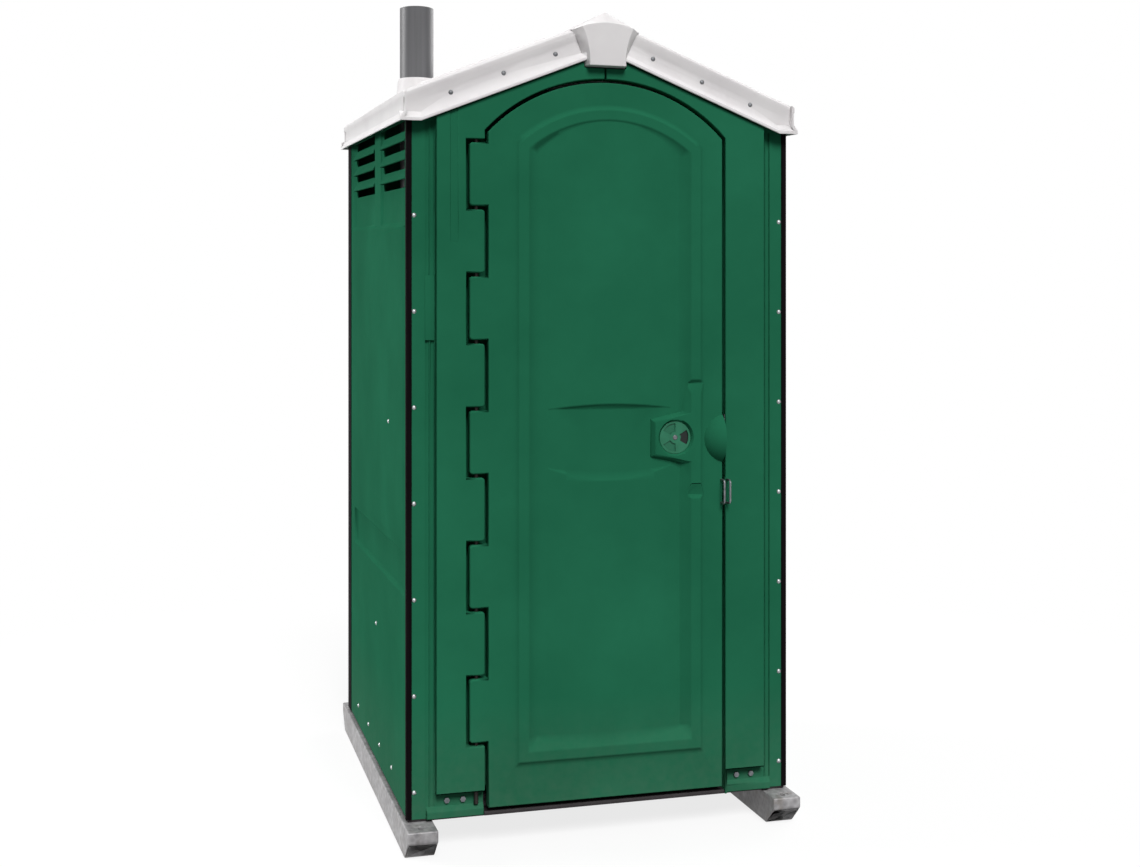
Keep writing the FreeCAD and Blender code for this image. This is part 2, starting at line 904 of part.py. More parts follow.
def column_steps(left, inset):
    """Outline of one raised column and its half of the header, drawn for either side."""
    side = -1 if left else 1
    outer = side * (column_x - inset)
    low = column_bottom + inset
    radius = opening_radius + inset
    seam_x = side * (seam_gap + inset)
    flat_x = side * flat_lip_x
    edge = opening_left - inset if left else opening_right + inset
    steps = [(outer, low), (edge, low)]
    if left:
        back = pocket_x - inset
        steps += [(edge, tab_first_z - tab_gap / 2 - inset),
                  (back, tab_first_z - tab_gap / 2 - inset),
                  (back, top_tab_z + inset), (edge, top_tab_z + inset)]
    middle = (edge + seam_x) / 2
    under_key = keystone_foot_z - header_clearance - inset
    beside_key = side * (keystone_foot_half + header_clearance + inset)
    steps += [(edge, arc_z(edge, radius)),
              (seam_x, arc_z(seam_x, radius), middle, arc_z(middle, radius)),
              (seam_x, under_key), (beside_key, under_key),
              (beside_key, lip_z(beside_key) - inset),
              (outer, lip_z(outer) - inset)]
    if abs(outer) > abs(flat_x):
        steps.insert(-1, (flat_x, lip_z(flat_x) - inset))
    return steps


def hinge_tab(z0, z1, left_reach):
    """Rounded hinge tab: reaches over the rod from the jamb (left_reach) or from the door."""
    side = -1 if left_reach else 1
    root = hinge_x + side * (tab_reach + door_gap + tab_overlap)
    tip = hinge_x - side * tab_reach
    tab = block(root, tip, column_face_y, door_back_y, z0, z1)
    back = [e for e in tab.Edges
            if abs(e.BoundBox.XMin - tip) < 0.01 and abs(e.BoundBox.XMax - tip) < 0.01
            and e.BoundBox.ZLength > 1 and abs(e.BoundBox.YMin - door_back_y) < 0.01]
    tab = tab.makeFillet(tab_back_round, back)
    r = tab_corner
    c = r * (1 - math.sqrt(0.5))
    turn = tip + side * r
    steps = [(root, z0), (turn, z0), (tip, z0 + r, tip + side * c, z0 + c), (tip, z1 - r),
             (turn, z1, tip + side * c, z1 - c), (root, z1)]
    tab = tab.common(slab(steps, column_face_y, door_back_y))
    front = [e for e in tab.Edges
             if abs(e.BoundBox.XMin - tip) < 0.01 and abs(e.BoundBox.XMax - tip) < 0.01
             and e.BoundBox.ZLength > 1 and abs(e.BoundBox.YMin - column_face_y) < 0.01]
    return tab.makeFillet(tab_front_round, front)


def rod_hole(z0, z1):
    """Clearance hole along the hinge line."""
    return rod((hinge_x, hinge_y, z0), (hinge_x, hinge_y, z1), rod_radius + rod_fit)


def base_steps(left):
    """Outline of the front sheet on one side, up to the roof and round the doorway."""
    side = -1 if left else 1
    outer = side * inner_x
    edge = opening_left if left else opening_right
    seam_x = side * seam_gap
    high = ridge_z + spare
    steps = [(outer, foot_z), (edge, foot_z)]
    if left:
        steps += [(edge, tab_first_z - tab_gap / 2), (pocket_x, tab_first_z - tab_gap / 2),
                  (pocket_x, top_tab_z), (edge, top_tab_z)]
    middle = (edge + seam_x) / 2
    steps += [(edge, arc_z(edge, opening_radius)),
              (seam_x, arc_z(seam_x, opening_radius), middle, arc_z(middle, opening_radius)),
              (seam_x, high), (outer, high)]
    return steps


def front_panel(left):
    """Half of the front: flange, groove, raised column, ledge, and half of the arched header."""
    side = -1 if left else 1
    back_y = -wall_y + front_sheet
    panel = slab(base_steps(left), -wall_y, back_y)
    column = slab(column_steps(left, 0.0), column_face_y, back_y)
    hollow = slab(column_steps(left, sheet), column_face_y + sheet, back_y + 1)
    panel = joined([panel, column]).cut(hollow)
    groove_low = ledge_top
    groove_high = lip_z(groove_outer_x)
    for x0, x1 in ((groove_outer_x, groove_outer_x - groove_outer_width),
                   (groove_inner_x + groove_inner_width, groove_inner_x)):
        panel = panel.cut(block(side * x0, side * x1, -wall_y - 1, -wall_y + groove_depth,
                                groove_low, groove_high))
    rib_x = (groove_outer_x + groove_inner_x) / 2
    panel = panel.cut(block(side * (rib_x + groove_rib_half), side * (rib_x - groove_rib_half),
                            -wall_y - 1, -wall_y + groove_depth - groove_rib,
                            groove_low, groove_high))
    extras = []
    if left:
        extras.append(block(side * groove_outer_x, side * groove_inner_x,
                            -wall_y - pad_height, -wall_y + groove_depth + 1,
                            pad_bottom, pad_top))
    edge = opening_left if left else opening_right
    ledge_side = [(back_y, foot_z), (ledge_face_y, foot_z), (ledge_face_y, ledge_top - ledge_slope),
                  (-wall_y, ledge_top), (back_y, ledge_top)]
    extras.append(plate_yz(ledge_side, side * ledge_outer_x, edge))
    rail_x = half_w - strip_end_leg - part_gap
    rail = [(side * rail_x, roof_z(rail_x, rail_face_y, channel_bottom)),
            (side * seam_gap, roof_z(seam_gap, rail_face_y, channel_bottom)),
            (side * seam_gap, roof_z(seam_gap, rail_face_y, channel_top)),
            (side * rail_x, roof_z(rail_x, rail_face_y, channel_top))]
    extras.append(plate_xz(rail, rail_face_y, back_y))
    panel = joined([panel] + extras)
    if left:
        panel = panel.fuse(hinge_jamb())
    else:
        panel = panel.fuse(latch_jamb())
    panel = panel.removeSplitter().cut(above_roof(roof_sheet))
    flute = block(side * flute_outer, side * flute_inner, column_face_y - 1,
                  column_face_y + flute_depth, flute_bottom, lip_z(0))
    if left:
        panel = panel.cut(flute)
        panel = panel.cut(rod_hole(rod_bottom, rod_top + part_gap))
    else:
        panel = panel.cut(block(opening_right - 1, opening_right + sheet + 1,
                                bolt_front_y - strike_pocket, bolt_back_y + strike_pocket,
                                bolt_bottom - strike_pocket, bolt_top + strike_pocket))
        panel = panel.cut(loop_holes(opening_right + loop_from_edge))
    panel = drilled(panel, flange_rivet_places(side, -wall_y), (0, -1, 0), through)
    return drilled(panel, roof_rivet_places(side, -1, fascia_y), (0, -1, 0), through)


def hinge_jamb():
    """Edge of the hinge side: return wall, draught web behind the tabs, and the jamb's tabs."""
    solids = []
    low, high = tab_first_z - tab_gap / 2, top_tab_z
    solids.append(block(pocket_x - sheet, pocket_x, column_face_y + 1, jamb_return_y,
                        column_bottom, high + jamb_top_tab / 2))
    solids.append(block(pocket_x - sheet, door_left + draught_reach, jamb_return_y,
                        jamb_return_y + stop_sheet, column_bottom, high + jamb_top_tab / 2))
    solids.append(hinge_tab(column_bottom, low, True))
    for k in range(tab_count - 1):
        z0 = tab_first_z + tab_step * (2 * k + 1) + tab_gap / 2
        z1 = tab_first_z + tab_step * (2 * k + 2) - tab_gap / 2
        solids.append(hinge_tab(z0, z1, True))
    solids.append(hinge_tab(high, high + jamb_top_tab, True))
    return solids


def latch_jamb():
    """Edge of the latch side: return wall and the stop lip that the door closes on."""
    back_y = door_back_y + stop_clearance
    high = arc_z(opening_right, opening_radius)
    wall = block(opening_right, opening_right + sheet, column_face_y + 1, back_y + stop_sheet,
                 foot_z, high)
    lip = block(opening_right - stop_lip, opening_right + sheet, back_y, back_y + stop_sheet,
                door_bottom, high - stop_top_drop)
    return [wall, lip]


def corner_strip(side, end):
    """Black angle over a corner: short legs at the front, a wide side leg at the rear."""
    side_leg = strip_front_leg if end < 0 else strip_rear_leg
    x_out, y_out = side * half_w, end * half_d
    x_in, y_in = side * wall_x, end * wall_y
    top = ridge_z
    leg_a = block(x_out, x_in, y_out, y_out - end * side_leg, foot_z, top)
    leg_b = block(x_out, x_out - side * strip_end_leg, y_out, y_in, foot_z, top)
    return joined([leg_a, leg_b]).cut(above_roof(roof_sheet + strip_top_gap))


# Roof
def fascia_profile():
    """Section of the roof along its length: rim and channel at both ends, without the lips."""
    f, c = fascia_y, fascia_y + fascia_sheet
    front = [(-rim_y + rim_chamfer, 0), (-rim_y, rim_chamfer), (-rim_y, rim_drop),
             (-c, channel_top), (-c, channel_bottom), (-f, channel_bottom), (-f, roof_sheet)]
    rear = [(-y, d) for y, d in reversed(front)]
    return [(y, roof_z(0, y, d)) for y, d in front + rear]


def lip_section(end):
    """Flared lower lip of the fascia, as (y, drop) points."""
    f, c = fascia_y, fascia_y + fascia_sheet
    ring = [(c, channel_bottom), (lip_y, lip_top), (lip_y, lip_bottom),
            (lip_y - lip_sheet, lip_bottom), (f, channel_bottom + lip_overlap),
            (f, channel_bottom)]
    return [(end * y, d) for y, d in ring]


def roof_slope(side):
    """One slope of the roof with its fascia, channel and lips at both ends."""
    ring = [(0, y, z) for y, z in fascia_profile()]
    run = V(side * eave_x, 0, -roof_pitch * eave_x)
    solids = [face_of(ring).extrude(run)]
    for end in (-1, 1):
        section = [(y, roof_z(0, y, d)) for y, d in lip_section(end)]
        slope = V(side * flat_lip_x, 0, -roof_pitch * flat_lip_x)
        solids.append(face_of([(0, y, z) for y, z in section]).extrude(slope))
        corner = [(side * flat_lip_x, y, z - roof_pitch * flat_lip_x) for y, z in section]
        level = V(side * (lip_x - flat_lip_x), 0, 0)
        solids.append(face_of(corner).extrude(level))
    shape = joined(solids)
    for end in (-1, 1):
        low = roof_z(flat_lip_x, end * lip_y, lip_bottom)
        below = block(side * flat_lip_x, side * (lip_x + 1), end * (fascia_y - 1),
                      end * (fascia_y + fascia_sheet - 0.1), low - rim_drop, low)
        shape = shape.cut(below)
    return shape


def side_skirt(side):
    """Eave skirt: rim, shallow channel and flared lip, rising with the roof."""
    y0 = -lip_y
    top = roof_z(eave_x, y0)
    low = roof_z(flat_lip_x, y0, lip_bottom)
    rim_x, wall_out = eave_x, eave_x - skirt_sheet / 2
    back_x = wall_out - skirt_sheet
    ring = [(back_x, top), (rim_x - skirt_round / 2, top - skirt_round / 2),
            (rim_x, top - skirt_round), (rim_x, top - skirt_rim),
            (wall_out, top - skirt_rim - skirt_round), (wall_out, low + skirt_flare + skirt_round),
            (lip_x, low + skirt_round), (lip_x, low), (lip_x - skirt_sheet, low),
            (back_x, low + skirt_flare)]
    face = face_of([(side * a, y0, z) for a, z in ring])
    return face.extrude(V(0, 2 * lip_y, roof_z(0, lip_y) - roof_z(0, -lip_y)))


def keystone_steps(foot_half, half, corner_z, peak_z, arch, scale, up):
    """Outline of the keystone: level foot, bowed-in sides and a low arch over each half."""
    foot = keystone_foot_z
    middle = (foot + ridge_z) / 2

    def at(x, z):
        return x * scale, middle + (z - middle) * scale + up

    bow_x = (foot_half + half) / 2 - keystone_side_bow
    bow_z = (foot + corner_z) / 2
    top_x, top_z = half / 2, (corner_z + peak_z) / 2 + arch
    return [at(-foot_half, foot), at(foot_half, foot), at(half, corner_z) + at(bow_x, bow_z),
            at(0, peak_z) + at(top_x, top_z), at(-half, corner_z) + at(-top_x, top_z),
            at(-foot_half, foot) + at(-bow_x, bow_z)]


def keystone(end):
    """Soft keystone at the peak of a gable end, smaller towards its face, hollow behind."""
    rise = roof_z(0, end * fascia_y) - roof_z(0, -fascia_y)
    shoulder = roof_z(crown_half, -rim_y)
    peak = ridge_z + crown_height - keystone_face_drop

    def rear(scale, up):
        return keystone_steps(keystone_foot_half, crown_half, shoulder, ridge_z + crown_height,
                              keystone_ridge_arch, scale, up)

    def front(scale, up):
        return keystone_steps(keystone_face_foot, keystone_face_half, peak - keystone_face_rise,
                              peak, keystone_face_rise / 4, scale, up)

    solid = lofted([outline(rear(1.0, rise), end * fascia_y), outline(rear(1.0, rise), end * rim_y),
                    outline(front(1.0, rise), end * keystone_y)])
    small, up = keystone_room_scale, rise - roof_sheet
    hollow = lofted([outline(rear(small, up), end * (fascia_y - 1)),
                     outline(front(small, up), end * (keystone_y - keystone_face_sheet))])
    return solid.cut(hollow)


def ridge_crown():
    """Raised cap along the ridge between the two keystones."""
    y0 = -rim_y
    drop_line = roof_z(crown_half, y0) - 2
    eave = drop_line + 2 + crown_height * crown_eave
    ring = [(-crown_half, drop_line), (-crown_half, eave), (0, roof_z(0, y0) + crown_height),
            (crown_half, eave), (crown_half, drop_line), (0, roof_z(0, y0) - 2)]
    face = face_of([(x, y0, z) for x, z in ring])
    return face.extrude(V(0, 2 * rim_y, roof_z(0, rim_y) - roof_z(0, -rim_y)))


def roof_panels(side):
    """Raised stiffening panels pressed into a slope, evenly spaced from the front to the pipe."""
    solids = []
    half = (roof_panel_pitch - roof_panel_gap) / 2
    for k in range(roof_panel_count):
        middle = roof_panel_first_y + roof_panel_pitch * k
        a, b = middle - half, middle + half
        ring = []
        for y, up in ((a, -1), (a + roof_panel_slope, roof_panel_height),
                      (b - roof_panel_slope, roof_panel_height), (b, -1)):
            ring.append((side * roof_panel_inner, y, roof_z(roof_panel_inner, y) + up))
        length = half_w - roof_panel_from_side - roof_panel_inner
        solids.append(face_of(ring).extrude(V(side * length, 0, -roof_pitch * length)))
    return solids


def roof_shell():
    """Pale moulded roof: two slopes, fascias, skirts, keystones, and the hole for the pipe."""
    solids = [roof_slope(1), roof_slope(-1), side_skirt(1), side_skirt(-1), ridge_crown()]
    solids += [keystone(-1), keystone(1)]
    solids += roof_panels(1) + roof_panels(-1)
    roof = joined(solids)
    roof = roof.cut(rod((pipe_x, pipe_y, deck_z), (pipe_x, pipe_y, pipe_top),
                        pipe_radius + part_gap))
    for side in (-1, 1):
        for end in (-1, 1):
            places = roof_rivet_places(side, end, fascia_y + fascia_sheet)
            roof = drilled(roof, places, (0, end, 0), roof_grip)
    return roof


def pipe_collar():
    """Rubber boot that seals the vent pipe on the roof."""
    reach = collar_radius + collar_flange
    top = roof_z(pipe_x + collar_radius, pipe_y) + collar_rise
    low = roof_z(pipe_x - reach, pipe_y - reach) - collar_sheet
    cone = Part.makeCone(collar_radius, pipe_radius + collar_lip, top - low,
                         V(pipe_x, pipe_y, low))
    base = Part.makeCylinder(reach, top - low, V(pipe_x, pipe_y, low))
    collar = cone.fuse(base.cut(above_roof(-collar_sheet))).common(above_roof(0.0))
    return collar.cut(rod((pipe_x, pipe_y, low - 1), (pipe_x, pipe_y, top + 1),
                          pipe_radius + part_gap)).removeSplitter()


# Door
def door_steps(inset):
    """Outline of the door: straight sides and an arched top."""
    left, right = door_left + inset, door_right - inset
    radius = arch_radius - inset
    return [(left, door_bottom + inset), (right, door_bottom + inset),
            (right, arc_z(right, radius)),
            (left, arc_z(left, radius), arch_x, arch_centre_z + radius)]


def moulding_steps(inset):
    """Outline of the raised frame at a distance inside its outer edge."""
    half = frame_half - inset
    radius = frame_radius - inset
    top = arch_centre_z + math.sqrt(radius ** 2 - half ** 2)
    low = frame_bottom + inset
    x = frame_centre_x
    return [(x - half, low), (x + half, low), (x + half, top),
            (x - half, top, x, arch_centre_z + radius)]


def crowned(level):
    """Upright drum across the frame's room, its front at a level before the door's face."""
    radius = (field_half ** 2 + door_field_crown ** 2) / (2 * door_field_crown)
    middle = V(frame_centre_x, door_face_y - level + radius, frame_bottom)
    return Part.makeCylinder(radius, ridge_z - frame_bottom, middle)


def raised_frame():
    """Raised picture frame moulding on the door's face, bevelled outside, with its backing."""
    body = lofted([outline(moulding_steps(0), door_face_y),
                   outline(moulding_steps(frame_bevel), frame_face_y)])
    root = slab(moulding_steps(0), door_face_y, door_face_y + sheet / 2)
    backing = slab(moulding_steps(field_foot_inset - field_rim), door_face_y + sheet / 2,
                   field_back_y)
    return body.fuse([root, backing])


def frame_hollow():
    """Room inside the frame: a long slope from the field's edge up to the frame's top."""
    past = 1.0
    return lofted([outline(moulding_steps(field_foot_inset), door_face_y + field_foot),
                   outline(moulding_steps(frame_mouth - past * frame_slope), frame_face_y - past)])


def door_field(level, inset, back):
    """Crowned field inside the frame, solid from a level to its back."""
    return slab(moulding_steps(inset), frame_face_y, back).common(crowned(level))


def scoop(grow):
    """Lens shaped scoop with sloping walls across the field, deepest at its centre."""
    floor = door_field_height - scoop_depth - grow
    rise = scoop_depth - door_field_crown * (scoop_half / field_half) ** 2
    radius = (scoop_half ** 2 + rise ** 2) / (2 * rise)
    middle = V(frame_centre_x, door_face_y - floor - radius, scoop_bottom - spare)
    drum = Part.makeCylinder(radius, scoop_top - scoop_bottom + 2 * spare, middle)
    x = frame_centre_x
    half = scoop_half + scoop_past_end
    wires = []
    for level in (frame_height, floor - 1):
        low = scoop_bottom + (door_field_height - level) * scoop_slope - grow
        high = scoop_top - (door_field_height - level) * scoop_top_slope + grow
        steps = [(x - half, low + scoop_bottom_bow),
                 (x + half, low + scoop_bottom_bow, x, low),
                 (x + half, high - scoop_top_bow),
                 (x - half, high - scoop_top_bow, x, high)]
        wires.append(outline(steps, door_face_y - level))
    return drum.common(lofted(wires))


def latch_boss():
    """Raised wedge round the dial, wider towards the frame and level with its top."""
    z, b = latch_z, boss_bevel
    root = [(boss_left, z - boss_left_half), (boss_right, z - boss_right_half),
            (boss_right, z + boss_right_half), (boss_left, z + boss_left_half)]
    top = [(boss_left + b, z - boss_left_half + b), (boss_right, z - boss_right_half + b),
           (boss_right, z + boss_right_half - b), (boss_left + b, z + boss_left_half - b)]
    wedge = lofted([outline(root, door_face_y), outline(top, frame_face_y)])
    return wedge.fuse(slab(root, door_face_y, door_face_y + boss_root))


def dial_dish():
    """Round room for the dial: straight below the bezel's face and flared above it."""
    straight = rod((latch_x, dial_pocket_y, latch_z), (latch_x, bezel_face_y, latch_z),
                   dial_pocket_radius)
    past = 1.0
    depth = bezel_face_y - frame_face_y
    flare = (dish_mouth_radius - dial_pocket_radius) / depth
    cone = Part.makeCone(dial_pocket_radius, dish_mouth_radius + past * flare, depth + past,
                         V(latch_x, bezel_face_y, latch_z), V(0, -1, 0))
    return straight.fuse(cone)


def grip_slot(z, up):
    """Notch across the frame: a short steep wall and a long ramp, which lies below the wall or,
    for the lower notch, above it."""
    wall, ramp = up * slot_height / 2, up * (slot_height / 2 + slot_ramp)
    floor_y, past = frame_face_y + slot_depth, frame_face_y - 1
    ring = [(past, z + wall), (frame_face_y, z + wall), (floor_y, z - wall),
            (frame_face_y, z - ramp), (past, z - ramp)]
    return plate_yz(ring, slot_x - slot_length / 2, slot_x + slot_length / 2)


def door_outer():
    """Outer door skin with its rim, hinge tabs, mouldings, scoop and latch boss."""
    skin = slab(door_steps(0), door_face_y, door_back_y - door_inner_sheet)
    room = slab(door_steps(sheet), door_face_y + sheet, door_back_y)
    skin = skin.cut(room)
    tabs = []
    for k in range(tab_count):
        z0 = tab_first_z + tab_step * 2 * k + tab_gap / 2
        z1 = tab_first_z + tab_step * (2 * k + 1) - tab_gap / 2
        tab = hinge_tab(z0, z1, False)
        tabs.append(tab.cut(block(door_left + door_inner_inset, door_left + tab_reach,
                                  door_back_y - door_inner_sheet, door_back_y + 1,
                                  z0 - 1, z1 + 1)))
    skin = joined([skin, raised_frame()]).cut(frame_hollow())
    skin = joined([skin, door_field(door_field_height, frame_mouth, field_back_y)])
    skin = skin.cut(door_field(door_field_height - sheet, field_foot_inset, field_back_y + 1))
    scoop_back = scoop(sheet).common(door_field(door_field_height, frame_mouth, field_back_y))
    skin = joined([skin, scoop_back]).cut(scoop(0.0))
    dial_seat = rod((latch_x, door_face_y, latch_z), (latch_x, door_face_y + boss_root, latch_z),
                    dial_pocket_radius + sheet)
    skin = joined([skin, dial_seat, latch_boss()] + tabs).cut(dial_dish())
    skin = skin.cut(rod((latch_x, bezel_face_y, latch_z), (latch_x, door_back_y, latch_z),
                        spindle_radius + part_gap))
    skin = skin.cut(grip_slot(slot_upper_z, 1)).cut(grip_slot(slot_lower_z, -1))
    skin = skin.cut(block(door_right - sheet - 1, door_right + 1, bolt_front_y - part_gap,
                          bolt_back_y + part_gap, bolt_bottom - part_gap, bolt_top + part_gap))
    skin = skin.cut(loop_holes(door_right - loop_from_edge))
    return skin.cut(rod_hole(tab_first_z - spare, rod_top + spare)).removeSplitter()


def door_inner():
    """Flat inner skin with two shallow panels, behind the rim of the outer skin."""
    front = door_back_y - door_inner_sheet
    skin = slab(door_steps(door_inner_inset), front, door_back_y)
    x0, x1 = door_left + inner_panel_from_edge, door_right - inner_panel_from_edge
    for z0, z1 in ((inner_panel_bottom, inner_panel_rail_bottom),
                   (inner_panel_rail_top, inner_panel_top)):
        skin = skin.cut(pocket_y_wall(x0, x1, z0, z1, door_back_y,
                                      door_back_y - inner_panel_depth, inner_panel_depth))
    return skin.cut(rod((latch_x, front - 1, latch_z), (latch_x, door_back_y + 1, latch_z),
                        spindle_radius + part_gap))


def dome_pull():
    """Hollow half dome at the door's edge, open towards the gap for the fingers."""
    centre = V(door_right + dome_past_edge, door_face_y - dome_bulge + dome_ball_radius, dome_z)
    ball = Part.makeSphere(dome_ball_radius, centre)
    room = Part.makeSphere(dome_ball_radius - dome_sheet, centre)
    reach = dome_ball_radius
    keep = block(door_right - 2 * reach, door_right, door_face_y - 2 * reach, door_face_y,
                 dome_z - reach, dome_z + reach)
    return ball.cut(room).common(keep)


def loop_holes(x):
    """Holes for the two legs of a padlock loop."""
    return Part.makeCompound([rod((x, door_face_y - 1, z), (x, door_face_y + 2 * sheet, z),
                                  loop_rod + rod_fit) for z in (loop_bottom, loop_top)])


def padlock_loop(x, face_y):
    """Bent steel rod loop standing out of a face, its legs going in through the skin."""
    y0, y1 = face_y + sheet, face_y - loop_reach
    z0, z1, b = loop_bottom, loop_top, loop_bend
    c = b * (1 - math.sqrt(0.5))
    legs = [Part.LineSegment(V(x, y0, z0), V(x, y1 + b, z0)).toShape(),
            Part.Arc(V(x, y1 + b, z0), V(x, y1 + c, z0 + c), V(x, y1, z0 + b)).toShape(),
            Part.LineSegment(V(x, y1, z0 + b), V(x, y1, z1 - b)).toShape(),
            Part.Arc(V(x, y1, z1 - b), V(x, y1 + c, z1 - c), V(x, y1 + b, z1)).toShape(),
            Part.LineSegment(V(x, y1 + b, z1), V(x, y0, z1)).toShape()]
    ring = Part.Wire(Part.Circle(V(x, y0, z0), V(0, 1, 0), loop_rod).toShape())
    return Part.Wire(legs).makePipeShell([ring], True, True)


# Latch
def pin_place(angle):
    """Centre of the crank pin at a turn of the knob, measured from upright."""
    return (latch_x + crank_radius * math.sin(math.radians(angle)),
            latch_z + crank_radius * math.cos(math.radians(angle)))


def latch_spindle():
    """Spindle through the door with the crank arm and pin that drive the bolt."""
    shaft = rod((latch_x, dial_pocket_y - disc_seat, latch_z), (latch_x, spindle_end_y, latch_z),
                spindle_radius)
    px, pz = pin_place(-latch_turn / 2)
    back_y = crank_face_y + crank_sheet
    hub = rod((latch_x, crank_face_y, latch_z), (latch_x, back_y, latch_z), crank_width / 2 + crank_hub)
    boss = rod((px, crank_face_y, pz), (px, back_y, pz), crank_width / 2)
    arm = block(-crank_width / 2, crank_width / 2, crank_face_y, back_y, 0, crank_radius)
    arm.rotate(V(0, 0, 0), V(0, 1, 0), -latch_turn / 2)
    arm.translate(V(latch_x, 0, latch_z))
    pin = rod((px, bolt_front_y - 1, pz), (px, back_y, pz), crank_pin_radius)
    return joined([shaft, hub, boss, arm, pin])


def sector(radius_in, radius_out, middle, spread, y0, y1):
    """Ring sector about the latch axis, its middle measured from upright."""
    steps = []
    a0 = math.radians(middle - spread / 2)
    a1 = math.radians(middle + spread / 2)
    am = math.radians(middle)

    def at(radius, angle):
        return latch_x + radius * math.sin(angle), latch_z + radius * math.cos(angle)

    steps = [at(radius_in, a0), at(radius_out, a0), at(radius_out, a1) + at(radius_out, am),
             at(radius_in, a1), at(radius_in, a0) + at(radius_in, am)]
    edges = []
    here = steps[0]
    for step in steps[1:]:
        start, end = V(here[0], y0, here[1]), V(step[0], y0, step[1])
        if len(step) == 4:
            edges.append(Part.Arc(start, V(step[2], y0, step[3]), end).toShape())
        else:
            edges.append(Part.LineSegment(start, end).toShape())
        here = step
    return Part.Face(Part.Wire(edges)).extrude(V(0, y1 - y0, 0))


def indicator_bezel():
    """Fixed cover of the dial with three sector windows and a centre hole."""
    plate = rod((latch_x, bezel_face_y, latch_z), (latch_x, bezel_face_y + bezel_sheet, latch_z),
                bezel_radius)
    rim = rod((latch_x, bezel_face_y, latch_z), (latch_x, dial_pocket_y, latch_z), bezel_radius)
    rim = rim.cut(rod((latch_x, bezel_face_y - 1, latch_z), (latch_x, dial_pocket_y + 1, latch_z),
                      bezel_radius - bezel_rim))
    bezel = plate.fuse(rim)
    for k in range(3):
        bezel = bezel.cut(sector(window_inner, window_outer, 90 + 120 * k, window_angle,
                                 bezel_face_y - 1, bezel_face_y + bezel_sheet + 1))
    hole = rod((latch_x, bezel_face_y - 1, latch_z), (latch_x, dial_pocket_y, latch_z),
               bezel_hole_radius)
    return bezel.cut(hole).removeSplitter()


def indicator_disc():
    """Turning disc behind the windows, fixed on the spindle's end."""
    y0 = dial_pocket_y - disc_sheet - disc_back_gap
    disc = rod((latch_x, y0, latch_z), (latch_x, y0 + disc_sheet, latch_z), disc_radius)
    return disc.cut(rod((latch_x, y0 - 1, latch_z), (latch_x, y0 + 9, latch_z),
                        spindle_radius + rod_fit))


def dial_screw():
    """Bright screw in the middle of the dial, threaded into the spindle's end."""
    seat_y0 = bezel_face_y - screw_under
    shank = rod((latch_x, dial_pocket_y - disc_seat, latch_z), (latch_x, seat_y0, latch_z),
                screw_shank_radius)
    head = Part.makeCone(screw_head_radius, screw_top_radius, screw_head,
                         V(latch_x, seat_y0, latch_z), V(0, -1, 0))
    screw = shank.fuse(head).removeSplitter()
    slot = block(latch_x - screw_head_radius, latch_x + screw_head_radius,
                 seat_y0 - screw_head - 1, seat_y0 - screw_head + 1,
                 latch_z - screw_slot / 2, latch_z + screw_slot / 2)
    return screw.cut(slot)


def latch_knob():
    """Inside turn knob with a raised grip bar."""
    face_y = spindle_end_y + knob_sheet
    disc = rod((latch_x, spindle_end_y - knob_socket, latch_z), (latch_x, face_y, latch_z),
               knob_radius)
    disc = disc.cut(rod((latch_x, spindle_end_y - knob_socket - 1, latch_z),
                        (latch_x, spindle_end_y, latch_z), spindle_radius + rod_fit))
    grip = block(-knob_radius + 1, knob_radius - 1, face_y, face_y + knob_grip,
                 -knob_grip_half, knob_grip_half)
    top_edges = [e for e in grip.Edges if e.BoundBox.YMin > face_y + knob_grip - 0.01]
    grip = grip.makeFillet(knob_grip_round, top_edges)
    grip.rotate(V(0, 0, 0), V(0, 1, 0), -latch_turn / 2)
    grip.translate(V(latch_x, 0, latch_z))
    return joined([disc, grip])


def latch_bolt():
    """Flat sliding bolt with the upright slot that the crank pin works in."""
    bar = block(bolt_rear_x, door_right - bolt_setback, bolt_front_y, bolt_back_y,
                bolt_bottom, bolt_top)
    px, pz_low = pin_place(-latch_turn / 2)
    pz_high = pin_place(0)[1]
    slot_half = crank_pin_radius + pin_slot_clearance
    slot = block(px - slot_half, px + slot_half, bolt_front_y - 1, bolt_back_y + 1,
                 pz_low - crank_pin_radius - pin_slot_end,
                 pz_high + crank_pin_radius + pin_slot_end)
    tip = [e for e in bar.Edges if e.BoundBox.XMin > door_right - bolt_setback - 0.01
           and e.BoundBox.YLength > 1]
    return bar.makeChamfer(bolt_chamfer, tip).cut(slot)


def bolt_guide():
    """Guide block on the inner skin that the bolt slides through."""
    x1 = door_right - sheet - part_gap
    x0 = x1 - guide_length
    z0, z1 = bolt_bottom - part_gap, bolt_top + part_gap
    guide = block(x0, x1, door_face_y + sheet, door_back_y - door_inner_sheet,
                  z0 - guide_wall, z1 + guide_wall)
    return guide.cut(block(x0 - 1, x1 + 1, bolt_front_y - part_gap, bolt_back_y + part_gap, z0, z1))


def strike_plate():
    """Steel strike on the jamb's edge with the hole for the bolt."""
    middle_y = (bolt_front_y + bolt_back_y) / 2
    middle_z = (bolt_bottom + bolt_top) / 2
    plate = block(opening_right - strike_sheet, opening_right, middle_y - strike_front,
                  middle_y + strike_back, middle_z - strike_height / 2,
                  middle_z + strike_height / 2)
    hole = block(opening_right - strike_sheet - 1, opening_right + 1,
                 bolt_front_y - strike_hole_y, bolt_back_y + strike_hole_y,
                 bolt_bottom - strike_hole_z, bolt_top + strike_hole_z)
    return plate.cut(hole)


